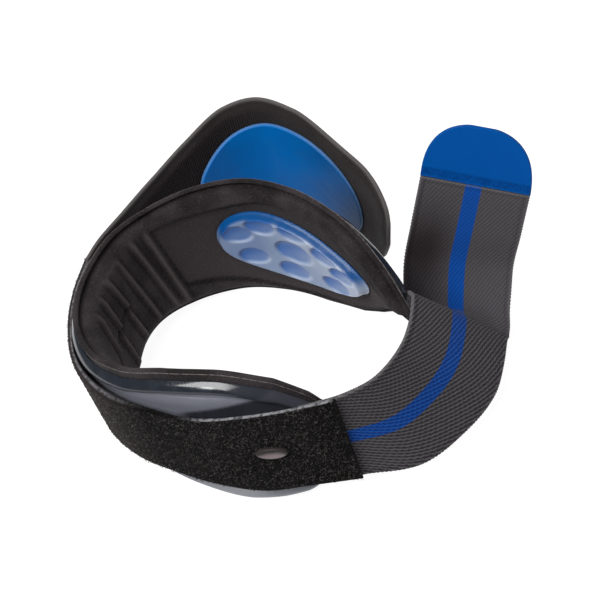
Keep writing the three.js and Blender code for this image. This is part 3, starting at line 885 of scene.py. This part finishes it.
# %% Spring shell: slate plastic
plastic, tree, shader = new_finish(
    "slate spring plastic", Specular_IOR_Level=0.15, Coat_Roughness=0.1)
grain = use_effect(tree, "moulded grain", {"Place": place_on(tree), "Grain": 1400.0})
on_face = ramp(tree, note(tree, "edge"), SHELL["rim"] - 0.2, SHELL["rim"] + 0.6)
# the face is painted much lighter than the rim, as a painted reflection of the pale floor
slate = mix_colours(tree, on_face, linear(28, 32, 39), linear(112, 114, 124))
# painted reflection of the floor on the lower lobe
slate = mix_colours(tree, note(tree, "lobe"), slate, linear(122, 124, 130))
slate = mix_colours(tree, note(tree, "shade"), slate, linear(42, 43, 50))
set_colour(tree, shader, tint(tree, slate, linear(84, 88, 96), grain["Wear"], 0.06))
polish = calc(tree, "SUBTRACT", 1.0, note(tree, "dull"))
tree.links.new(calc(tree, "MULTIPLY", polish, 0.9), shader.inputs["Coat Weight"])
worn = ramp(tree, grain["Wear"], 0.0, 1.0, 0.14, 0.22)
tree.links.new(calc(tree, "MULTIPLY_ADD", note(tree, "dull"), 0.5, worn), shader.inputs["Roughness"])
raise_surface(tree, shader, grain["Height"], 0.00006)
finish_piece(shell, "shell", plastic)

# %% [markdown]
# The outer band is a hook-and-loop loop pile: thousands of curled fibres on a woven back.
# A bump map alone leaves its outline too clean, so the pile is real geometry. Each loop is
# a tiny arch of three-sided tube with a seeded place, lean and shade.

# %% Outer band: backing
# columns as for the clasp: near cut end, round the bend, wing's root
# the last two rows keep below the solid, so that the end of the band hides behind the lining
BAND = [
    (-0.3, -72.8, 0, 9.2, 50), (-17, -68.8, 0, 10.2, 49), (-33, -62.8, 0, 9, 47.5),
    (-47, -54.8, 0.5, 10, 46), (-60.5, -44, 0.5, 12.4, 46), (-73.8, -29.8, 1, 13.5, 46),
    (-81.3, -10.5, 1, 12, 47), (-80.4, 8, 1, 7, 48), (-76, 24.6, 1, 7, 48), (-68.7, 41.6, 0, 7, 48.5),
]
BAND_WIDTH = 40
BAND_THICK = 1.7
BAND_ROUND = 0.45
# the pale line on the cut top edge: its width, how far it runs from the cut end, and how it fades
CUT_LINE = {"crisp": 0.1, "width": 0.24, "run": 44, "blend": 15, "corner": (0.5, 3), "bend_share": 0.7}
# round the bend the band is padded up to the shell, and the padding ends towards the front
FILL = {"clear": 0.5, "full": 75, "none": 105, "top": 46}
# round the bend the pile is shorter, and a painted sheen makes the pile and the backing paler there
SHORT_PILE_SHEEN_BEND = {"full": 60, "none": 95}
band = Wall(BAND[::-1])

along, share = wall_grid(band, BAND_WIDTH, along_step=1.2, up_step=0.9, fine=0.5)
rounded = rounding(band.edge_distance(along, share), BAND_ROUND)
half = BAND_THICK / 2 * rounded
cut_start = band.length - CUT_LINE["run"]
near_end = smooth_step(along, cut_start - CUT_LINE["blend"], cut_start)
top_edge = 1 - smooth_step((1 - share) * BAND_WIDTH, CUT_LINE["crisp"], CUT_LINE["width"])
cut_line = top_edge * smooth_step(band.length - along, *CUT_LINE["corner"]) * near_end
at_bend = 1 - smooth_step(along, SHORT_PILE_SHEEN_BEND["full"], SHORT_PILE_SHEEN_BEND["none"])

# %% Outer band: padding round the bend
shell_along = np.linspace(0, clasp.length, 500)
shell_share = clasp.share_at(shell_along, FILL["top"])
shell_line = clasp.point(shell_along, shell_share, PIECE_GAP + SHELL["face"])[:, :2]
band_line = band.section(along[:, 0])[0]
gap = np.linalg.norm(band_line[:, None] - shell_line[None], axis=-1).min(axis=1)
padding = np.maximum(gap - BAND_THICK / 2 - FILL["clear"], 0)[:, None]
padding = padding * (1 - smooth_step(along, FILL["full"], FILL["none"]))
outer_band = closed_sheet(
    "outer_band",
    band.point(along, share, half),
    band.point(along, share, -half - padding * rounded),
    {
        "cut": (cut_line, np.maximum(cut_line, CUT_LINE["bend_share"] * top_edge * at_bend)),
        "at_bend": both(at_bend),
    })
print("the band's padding is up to", round(padding.max(), 1), "mm thick")

# %% Outer band: backing cloth
pile_back, tree, shader = new_finish(
    "loop pile backing", Roughness=1.0, Sheen_Weight=0.04, Sheen_Tint=grey(0.6),
    Specular_IOR_Level=0.03)
fuzz = use_effect(tree, "brushed fuzz", {"Place": place_on(tree), "Fibres": 700.0})
black = mix_colours(tree, fuzz["Nap"], linear(8, 7, 7), linear(16, 15, 15))
# painted sheen: the backing is paler round the bend
black = mix_colours(tree, note(tree, "at_bend"), black, linear(44, 40, 40))
flecked = tint(tree, black, linear(58, 55, 54), fuzz["Specks"], 0.4)
frayed = calc(tree, "MULTIPLY", note(tree, "cut"), ramp(tree, fuzz["Height"], 0.35, 0.6, 0.2, 0.9))
set_colour(tree, shader, mix_colours(tree, frayed, flecked, linear(128, 128, 132)))
raise_surface(tree, shader, fuzz["Height"], 0.0008)
finish_piece(outer_band, "outer_band", pile_back)

# %% Outer band: curled pile
LOOPS = 9800
LOOP_STEPS = 3
LOOP = {"span": 0.42, "rise": 0.62, "tube": 0.062, "sizes": (0.6, 1.35), "lean": 0.35, "sunk": 0.1}
LOOP_FIELD = {"end_gap": 0.3, "levels": (0.008, 0.992)}
# a few loops stand up from the top edge
TOP_HAIRS = {"share": 0.02, "levels": (0.985, 0.999), "lean": 0.3}
# size of the loops round the bend, as a share of the others
BEND_PILE = 0.55
# a higher power leaves fewer pale strands
TONE_POWER = 2.5
PILE_SEED = 7
rng = np.random.default_rng(PILE_SEED)


def curled_loops(name, wall, seat, count):
    """Tiny arches standing on the outer face of a wall."""
    at = rng.uniform(LOOP_FIELD["end_gap"], wall.length - LOOP_FIELD["end_gap"], count)
    level = rng.uniform(*LOOP_FIELD["levels"], count)
    at_top = rng.random(count) < TOP_HAIRS["share"]
    level = np.where(at_top, rng.uniform(*TOP_HAIRS["levels"], count), level)
    turn = rng.uniform(0, TURN, count)
    size = rng.uniform(*LOOP["sizes"], count)
    lean = rng.normal(0, LOOP["lean"], (count, 2))
    lean[:, 1] = np.where(at_top, np.abs(lean[:, 1]) + TOP_HAIRS["lean"], lean[:, 1])
    tone = rng.random(count) ** TONE_POWER
    bend = 1 - smooth_step(at, SHORT_PILE_SHEEN_BEND["full"], SHORT_PILE_SHEEN_BEND["none"])
    size = size * (1 - (1 - BEND_PILE) * bend)
    outward = wall.section(at)[1]
    ahead = np.stack([-outward[:, 1], outward[:, 0], np.zeros(count)], axis=-1)
    outward = np.concatenate([outward, np.zeros((count, 1))], axis=-1)
    upward = np.array([0.0, 0.0, 1.0])
    foot = wall.point(at, level, np.full(count, seat - LOOP["sunk"]))
    flat = ahead * np.cos(turn)[:, None] + upward * np.sin(turn)[:, None]
    side = np.cross(outward, flat)
    arc = np.linspace(0, math.pi, LOOP_STEPS + 1)
    rings = []
    for angle in arc:
        reach = -math.cos(angle) * LOOP["span"] * size
        rise = math.sin(angle) * LOOP["rise"] * size
        centre = foot + flat * reach[:, None] + outward * rise[:, None]
        centre = centre + ahead * (lean[:, :1] * rise[:, None])
        centre = centre + upward * (lean[:, 1:] * rise[:, None])
        radial = flat * (-math.cos(angle)) + outward * math.sin(angle)
        corners = [
            centre + LOOP["tube"] * (math.cos(k) * radial + math.sin(k) * side)
            for k in (0, TURN / 3, 2 * TURN / 3)
        ]
        rings.append(np.stack(corners, axis=1))
    points = np.stack(rings, axis=1)
    local = np.arange((LOOP_STEPS + 1) * 3).reshape(LOOP_STEPS + 1, 3)
    quads = grid_quads(np.concatenate([local, local[:, :1]], axis=1))
    caps = np.array([local[0], local[-1][::-1]])
    offsets = np.arange(count)[:, None, None] * local.size
    faces = [(quads[None] + offsets).reshape(-1, 4), (caps[None] + offsets).reshape(-1, 3)]
    return solid_mesh(name, points.reshape(-1, 3), faces, {
        "tone": np.repeat(tone, local.size), "at_bend": np.repeat(bend, local.size)})


band_pile = curled_loops("outer_band_pile", band, BAND_THICK / 2, LOOPS)

# %% Outer band: pile fibre
fibre, tree, shader = new_finish(
    "curled pile fibre", Roughness=0.8, Sheen_Weight=0.05, Sheen_Tint=grey(0.7),
    Specular_IOR_Level=0.08)
fuzz = use_effect(tree, "brushed fuzz", {"Place": place_on(tree), "Fibres": 500.0})
strand = mix_colours(tree, note(tree, "tone"), linear(9, 8, 8), linear(102, 97, 96))
strand = tint(tree, strand, linear(20, 19, 19), fuzz["Nap"], 0.4)
# painted sheen on the loops round the bend
set_colour(tree, shader, tint(tree, strand, linear(84, 78, 76), note(tree, "at_bend"), 0.25))
finish_piece(band_pile, "", fibre)

# %% [markdown]
# The wing is a thin laminate that stands behind the far arm: ribbed lining on the inside,
# brushed cloth outside, and a pressed edge that shows as a smoother border, with a painted
# highlight along its rounded rim. A cloth simulation would let it sag, but the real laminate
# is stiff enough to stand by itself. So it is a closed sheet like the lining, and its free end
# is rounded by the heights of its edges.

# %% Wing: mesh
# columns as for the clasp: root at the band, crown, free end
WING = [
    (-68.7, 36.3, 0, 8, 52.4), (-62, 43.7, 0, 4, 53.2), (-50, 54.5, 0, 1, 53.3),
    (-35.5, 65, 0, 0, 55.2), (-20, 73, 0, 0, 59.4), (-3.5, 78.5, 0, 0, 64), (10, 75.5, 0, 0, 65.5),
    (22.5, 62.3, 0, 0, 63.6), (32.6, 44.6, 1, 0, 53.8), (37.4, 34.5, 1.6, 4.5, 48.4),
    (39, 27, 2, 13, 43.4), (39.6, 21.4, 1.6, 20.5, 37.6), (39.2, 18.4, 0.8, 26, 32),
]
WING_HEIGHT = 60
WING_THICK = 2.6
WING_ROUND = 0.75
WING_BORDER = {"width": 3.0, "thin": 1.5, "blend": 3.0}
RIBS_FADE = {"from": 45, "to": 95, "least": 0.3}
wing_wall = Wall(WING[::-1])

along, share = wall_grid(wing_wall, WING_HEIGHT, along_step=1.1, up_step=0.9, fine=0.9)
edge = wing_wall.edge_distance(along, share)
past_border = smooth_step(edge, WING_BORDER["width"], WING_BORDER["width"] + WING_BORDER["blend"])
body = WING_BORDER["thin"] + (WING_THICK - WING_BORDER["thin"]) * past_border
half = body / 2 * rounding(edge, WING_ROUND)
height = wing_wall.height(along, share)
near_root = smooth_step(along, RIBS_FADE["from"], RIBS_FADE["to"])
lined = past_border * (RIBS_FADE["least"] + (1 - RIBS_FADE["least"]) * near_root)
wing = closed_sheet(
    "wing",
    wing_wall.point(along, share, -half),
    wing_wall.point(along, share, half),
    {
        "edge": both(edge),
        "lay": both(lay_of(along, height)),
        "lined": on_front(lined),
    })
print("the wing runs", round(wing_wall.length, 1), "mm from its free end to its root")

# %% Wing: ribbed lining
lining, tree, shader = new_finish(
    "ribbed wing lining", Roughness=0.9, Sheen_Weight=0.05, Sheen_Tint=grey(0.8),
    Specular_IOR_Level=0.05)
fuzz = use_effect(tree, "brushed fuzz", {"Place": place_on(tree), "Fibres": 900.0})
lines = use_effect(tree, "woven lines", {
    "Lay": note(tree, "lay", "Vector"), "Lines Along": 1.05, "Lines Across": 0.06, "Floats": 0.0})
on_rib = ramp(tree, lines["Tone"], 0.1, 0.9)
rib_tone = mix_colours(tree, on_rib, linear(24, 20, 21), linear(50, 44, 45))
border = mix_colours(tree, fuzz["Nap"], linear(40, 36, 36), linear(48, 44, 44))
# painted highlight: a pale line along the rounded edge
at_edge = ramp(tree, note(tree, "edge"), 0.3, 1.8, 0.7, 0.0)
border = mix_colours(tree, at_edge, border, linear(92, 88, 88))
inside = mix_colours(tree, note(tree, "lined"), border, rib_tone)
set_colour(tree, shader, tint(tree, inside, linear(88, 84, 82), fuzz["Specks"], 0.12))
ribs = calc(tree, "MULTIPLY", lines["Height"], note(tree, "lined"))
raise_surface(tree, shader, calc(tree, "MULTIPLY_ADD", fuzz["Height"], 0.5, ribs), 0.0005)
finish_piece(wing, "wing", lining)

# %% [markdown]
# The smooth pad on the wing is the same gel in a deep blue, so the rings of the other pad
# serve again without dimples. Its thin rim is a little milky, which is what shows as a pale
# outline round it.

# %% Smooth pad
SMOOTH_PAD = {
    "along": 61.4, "height": 30, "half_length": 39, "half_height": 24.2,
    "taper": -0.17, "tilt": 3.8, "rise": 1.3, "crown": 0.7, "bevel": 0.6,
}
# along from the pad's middle, over which the blue is painted brighter towards the root, as painted
# light
BRIGHTER = (-40, 0)
GREY_END = {"fall": 0.6, "from": 26, "to": 46}


def unbroken(along, height):
    """No cuts, and notes for the painted light towards the root and the greyed lower end."""
    greyed = smooth_step(-along - GREY_END["fall"] * height, GREY_END["from"], GREY_END["to"])
    return np.zeros_like(along), {"towards_root": smooth_step(along, *BRIGHTER), "greyed": greyed}


smooth_pad = pad_solid("smooth_pad", wing_wall, SMOOTH_PAD, WING_THICK / 2 + PIECE_GAP, unbroken)
print("the smooth pad is", 2 * SMOOTH_PAD["half_length"], "mm long")

# %% Smooth pad: deep blue gel
blue_gel, tree, shader = new_finish(
    "deep blue gel", Roughness=0.45, Coat_Weight=0.04, Coat_Roughness=0.15, Specular_IOR_Level=0.06,
    Subsurface_Weight=0.1, Subsurface_Radius=(0.4, 0.8, 1.6), Subsurface_Scale=0.0015)
clouds = use_effect(tree, "gel clouds", {"Place": place_on(tree), "Clouds": 45.0})
# painted light: the blue is brighter towards the root
deep = mix_colours(tree, note(tree, "towards_root"), linear(0, 68, 122), linear(0, 96, 168))
deep = tint(tree, deep, linear(0, 84, 152), clouds["Cloud"], 0.25)
deep = mix_colours(tree, note(tree, "greyed"), deep, linear(44, 66, 96))
milky = ramp(tree, note(tree, "from_rim"), 0.1, 0.5, 0.5, 0.0)
set_colour(tree, shader, mix_colours(tree, milky, deep, linear(92, 118, 152)))
raise_surface(tree, shader, clouds["Height"], 0.0005)
finish_piece(smooth_pad, "smooth_pad", blue_gel)

# %% [markdown]
# The strap is elastic webbing in a steep twill with a blue stripe down its middle. Webbing
# is flat, so it is modelled directly as a ribbon: a centre line, the direction of its width
# at each point, a thickened selvedge with its row of yarn turns, and the fold where it
# tips over. The twill runs steeper where the elastic is stretched, near the pull tab.

# %% Strap: ribbon
# x, y, z, heading and dip of the width line from the upper to the lower edge, in degrees
STRAP = [
    (-13, -67.2, 27, -66, 90), (0.5, -70.4, 28.4, -63, 89), (16.7, -69.6, 26, -52, 73),
    (31.2, -60.6, 24.3, -40, 61), (42.2, -47.8, 22, -34, 48), (51.3, -26, 19, -23, 43),
    (51.8, -18.3, 14.1, -36, 26), (53, -9.2, 7.6, -30, 0), (58.8, 0.6, 18.6, -20, 13),
    (65.1, 3, 31.6, -23.5, 16), (73.2, 6, 48, -26, 18),
]
WEBBING = {"width": 40, "thick": 1.4, "round": 0.6}
# distance from the edge, width and height of the thick selvedge and of the groove beside it
SELVEDGE = {"at": 0.9, "width": 0.7, "rise": 0.18}
GROOVE = {"at": 2.2, "width": 0.5, "depth": 0.22}
YARN_TURNS = {"swing": 0.14, "pitch": 1.25, "width": 1.0}


class Ribbon:
    """The webbing's middle surface: a centre line, and the direction of its width at each place."""

    def __init__(self, rows):
        rows = np.array(rows, float)
        self.line = smooth_curve(rows[:, :3])
        self.turn = smooth_curve(np.column_stack([rows[:, 3:], np.zeros(len(rows))]))
        self.ts, self.run = arc_table(self.line)
        self.length = self.run[-1]

    def frame_at(self, along):
        t = np.interp(along, self.run, self.ts)
        heading, dip = np.radians(np.moveaxis(self.turn(t)[..., :2], -1, 0))
        flat = np.cos(dip)
        across = np.stack([flat * np.cos(heading), flat * np.sin(heading), -np.sin(dip)], axis=-1)
        ahead = tangent(self.line, t)
        up = np.cross(across, ahead)
        return self.line(t), across, ahead, up / np.linalg.norm(up, axis=-1, keepdims=True)


ribbon = Ribbon(STRAP)
print("the webbing runs", round(ribbon.length, 1), "mm")

# %% Strap: mesh
# share of the strap's length, twill lines per mm along it, how strongly the twill shows
TWILL = [(0, 0.27, 1.0), (0.55, 0.27, 1.0), (0.66, 0.46, 0.4), (1, 0.46, 0.32)]
TWILL_ACROSS = 0.69
STITCH_LINE = {"in": 1.8, "width": 0.3, "pitch": 1.3, "level": 0.55, "swing": 0.45}
# the far upper corner lies in shade: distance from the end, width, and where across it sets in
SHADED = {"from_end": 27, "width": 15, "across": (-3, 13)}

run = stations(ribbon.length, 0.6, 0.5)
across_mm = stations(WEBBING["width"], 0.5, 0.9) - WEBBING["width"] / 2
along, offset = np.broadcast_arrays(run[:, None], across_mm[None, :])
side = np.abs(offset)
from_edge = np.minimum(WEBBING["width"] / 2 - side, np.minimum(along, ribbon.length - along))
turns = YARN_TURNS["swing"] * np.sin(TURN * along / YARN_TURNS["pitch"])
turns = turns * bump(from_edge, 0, YARN_TURNS["width"])
half = WEBBING["thick"] / 2 + SELVEDGE["rise"] * bump(from_edge, SELVEDGE["at"], SELVEDGE["width"])
half = half - GROOVE["depth"] * bump(from_edge, GROOVE["at"], GROOVE["width"])
half = half * rounding(from_edge, WEBBING["round"])
place, width_way, _, up = ribbon.frame_at(along)
middle = place + width_way * (offset + np.sign(offset) * turns)[..., None]
share_run, density, strength = np.array(TWILL).T
steps = np.interp(run / ribbon.length, share_run, density)
shown = np.broadcast_to(np.interp(run / ribbon.length, share_run, strength)[:, None], offset.shape)
in_shade = bump(ribbon.length - along, SHADED["from_end"], SHADED["width"])
in_shade = in_shade * smooth_step(-offset, *SHADED["across"])
stitch = bump(WEBBING["width"] / 2 - side, STITCH_LINE["in"], STITCH_LINE["width"])
stitches = np.sin(TURN * along / STITCH_LINE["pitch"])
stitch = stitch * (STITCH_LINE["level"] + STITCH_LINE["swing"] * stitches)
twill_phase = np.concatenate([[0], np.cumsum((steps[1:] + steps[:-1]) / 2 * np.diff(run))])
woven = np.stack([np.broadcast_to(twill_phase[:, None], offset.shape), offset, along], axis=-1)
strap = closed_sheet(
    "strap", middle + up * half[..., None], middle - up * half[..., None],
    {
        "lay": both(woven), "edge": both(from_edge), "offset": both(offset),
        "shown": both(shown), "stitch": both(stitch), "in_shade": both(in_shade),
    })
print("the webbing is up to", round(2 * half.max(), 2), "mm thick")

# %% Strap: twill webbing with a blue stripe
STRIPE = {"at": -0.4, "half": 2.95, "soft": 0.25}
webbing, tree, shader = new_finish(
    "twill webbing", Roughness=0.9, Sheen_Weight=0.05, Sheen_Tint=grey(0.9), Specular_IOR_Level=0.06)
lines = use_effect(tree, "woven lines", {
    "Lay": note(tree, "lay", "Vector"), "Lines Along": -1.0, "Lines Across": TWILL_ACROSS,
    "Floats": 2.0})
full_tone = ramp(tree, lines["Tone"], 0.05, 0.85)
tone = calc(tree, "MULTIPLY_ADD", calc(tree, "SUBTRACT", full_tone, 0.5), note(tree, "shown"), 0.5)
dark = mix_colours(tree, tone, linear(40, 38, 40), linear(84, 81, 85))
dark = tint(tree, dark, linear(28, 22, 23), note(tree, "in_shade"), 0.9)
blue = mix_colours(tree, tone, linear(2, 42, 104), linear(14, 74, 152))
to_stripe = calc(tree, "ABSOLUTE", calc(tree, "SUBTRACT", note(tree, "offset"), STRIPE["at"]))
in_stripe = ramp(
    tree, to_stripe, STRIPE["half"] - STRIPE["soft"], STRIPE["half"] + STRIPE["soft"], 1.0, 0.0)
cloth_colour = mix_colours(tree, in_stripe, dark, blue)
cloth_colour = tint(tree, cloth_colour, linear(24, 22, 23), note(tree, "stitch"), 0.7)
selvedge = ramp(tree, note(tree, "edge"), 0.3, 0.9, 0.35, 0.0)
set_colour(tree, shader, mix_colours(tree, selvedge, cloth_colour, linear(110, 108, 108)))
raise_surface(tree, shader, calc(tree, "MULTIPLY", lines["Height"], note(tree, "shown")), 0.0004)
finish_piece(strap, "strap", webbing)

# %% [markdown]
# The pull tab is a tongue of blue plastic welded onto the end of the webbing. A weld leaves
# a strip of small uneven dents along its root, and the rest is a plain satin face. A cut
# plate would need a bevel all round, so the tab is one more closed sheet, whose width follows
# a rounded curve up to its tip.

# %% Pull tab
TAB = {
    "length": 22.7, "width": 40.2, "skew": 0.03, "thick": 2.2, "squareness": 2.5,
    "tip": 0.9995, "round": 0.7, "root": 0.2, "gap": 0.05,
}
TAB_ROWS = 120
WELD = {"from": 0.6, "starts": 0.4, "to": 3.6, "ends": 0.6, "depth": 0.25, "pitch": 0.9}

place, width_way, ahead, up = (v[0] for v in ribbon.frame_at(np.array([ribbon.length])))
level = ahead - width_way * np.dot(ahead, width_way)
level = level / np.linalg.norm(level)
reach = TAB["tip"] * np.sin(np.linspace(0, math.pi / 2, TAB_ROWS)) * TAB["length"]
across = (stations(WEBBING["width"], 0.3, 1.0) / WEBBING["width"] - 0.5) * 2
reach, across = np.broadcast_arrays(reach[:, None], across[None, :])
power = TAB["squareness"]
half_width = TAB["width"] / 2 * (1 - (reach / TAB["length"]) ** power) ** (1 / power)
sideways = half_width * across
from_edge = np.minimum(half_width - np.abs(sideways), TAB["length"] * TAB["tip"] - reach)
from_edge = np.minimum(from_edge, TAB["round"] * reach / TAB["root"])
rounded = rounding(from_edge, TAB["round"])
weld = smooth_step(reach, WELD["from"], WELD["from"] + WELD["starts"])
weld = weld * (1 - smooth_step(reach, WELD["to"], WELD["to"] + WELD["ends"]))
turn = math.pi / WELD["pitch"]
dents = np.abs(np.sin(turn * (reach + sideways)) * np.sin(turn * (reach - sideways)))
half = TAB["thick"] / 2 * rounded
lift = half - weld * WELD["depth"] * dents * rounded
sideways = sideways - TAB["skew"] * (TAB["gap"] + reach)
middle = place + level * (TAB["gap"] + reach)[..., None] + width_way * sideways[..., None]
end_tab = closed_sheet(
    "end_tab", middle + up * lift[..., None], middle - up * half[..., None], {"weld": on_front(weld)})
print("the tab reaches", round(reach.max(), 1), "mm past the webbing")

# %% Pull tab: satin blue
satin, tree, shader = new_finish("blue satin tab", Specular_IOR_Level=0.04)
grain = use_effect(tree, "moulded grain", {"Place": place_on(tree), "Grain": 900.0})
tab_blue = tint(tree, linear(0, 66, 134), linear(0, 70, 140), grain["Wear"], 0.3)
uneven = ramp(tree, grain["Height"], 0.35, 0.65, 0.25, 0.6)
pressed_in = calc(tree, "MULTIPLY", note(tree, "weld"), uneven)
set_colour(tree, shader, mix_colours(tree, pressed_in, tab_blue, linear(0, 38, 92)))
tree.links.new(ramp(tree, grain["Wear"], 0.0, 1.0, 0.42, 0.6), shader.inputs["Roughness"])
raise_surface(tree, shader, grain["Height"], 0.00012)
finish_piece(end_tab, "end_tab", satin)

# %% [markdown]
# A small oval rivet shows in the pile, where the band is fixed to the shell. Its head is
# dished, so the lower wall of the dish faces the light while the upper wall stays dark. A
# squashed ball would catch the light on top instead, so the head is rings with a sunk middle.

# %% Rivet stud
STUD = {
    "along": 27, "height": 30.2, "half_length": 5.8, "half_height": 2.6, "rise": 1.3, "sunk": 0.15,
    "lip": 0.2, "dish": 1.1, "dish_from": 0.25, "dish_to": 0.92,
}
STUD_RINGS = 25
STUD_SIDES = 64
# the flat underside takes every fourth ring
UNDER_STEP = 4
# the lit lower half of the dish: how it begins downwards, and how it ends towards the lip
LIT = {"down": (-0.2, 0.5), "out": (0.75, 0.97)}
stud_along = band.length - STUD["along"]
angle = np.linspace(0, TURN, STUD_SIDES, endpoint=False)[None, :]
reach, angle = np.broadcast_arrays(np.sin(np.linspace(0, math.pi / 2, STUD_RINGS))[:, None], angle)
lip = STUD["rise"] * rounding(1 - reach, STUD["lip"])
head = lip - STUD["dish"] * (1 - smooth_step(reach, STUD["dish_from"], STUD["dish_to"]))
stud_at = stud_along + STUD["half_length"] * reach * np.cos(angle)
stud_height = STUD["height"] + STUD["half_height"] * reach * np.sin(angle)
stud_share = band.share_at(stud_at, stud_height)
seat = BAND_THICK / 2 + PIECE_GAP
front = band.point(stud_at, stud_share, seat + head)
back_at = stud_at[::-UNDER_STEP]
under = band.point(back_at, stud_share[::-UNDER_STEP], np.full_like(back_at, seat - STUD["sunk"]))
low_half = smooth_step(-reach * np.sin(angle), *LIT["down"])
low_half = low_half * (1 - smooth_step(reach, *LIT["out"]))
low_half = np.concatenate([low_half, np.zeros_like(back_at)])
stud = ring_solid("stud", np.concatenate([front, under]), {"low_half": low_half})
print("the stud's dish is", round(head.max() - head.min(), 2), "mm deep")

# %% Rivet stud: dark gloss
gloss, tree, shader = new_finish("dished stud", Specular_IOR_Level=0.15)
grain = use_effect(tree, "moulded grain", {"Place": place_on(tree), "Grain": 1800.0})
plain = mix_colours(tree, grain["Wear"], linear(34, 28, 29), linear(40, 34, 35))
# the lower half of the dish is painted lighter, as a painted highlight where it faces the light
set_colour(tree, shader, mix_colours(tree, note(tree, "low_half"), plain, linear(104, 94, 96)))
tree.links.new(ramp(tree, grain["Wear"], 0.0, 1.0, 0.4, 0.55), shader.inputs["Roughness"])
raise_surface(tree, shader, grain["Height"], 0.00005)
finish_piece(stud, "stud", gloss)
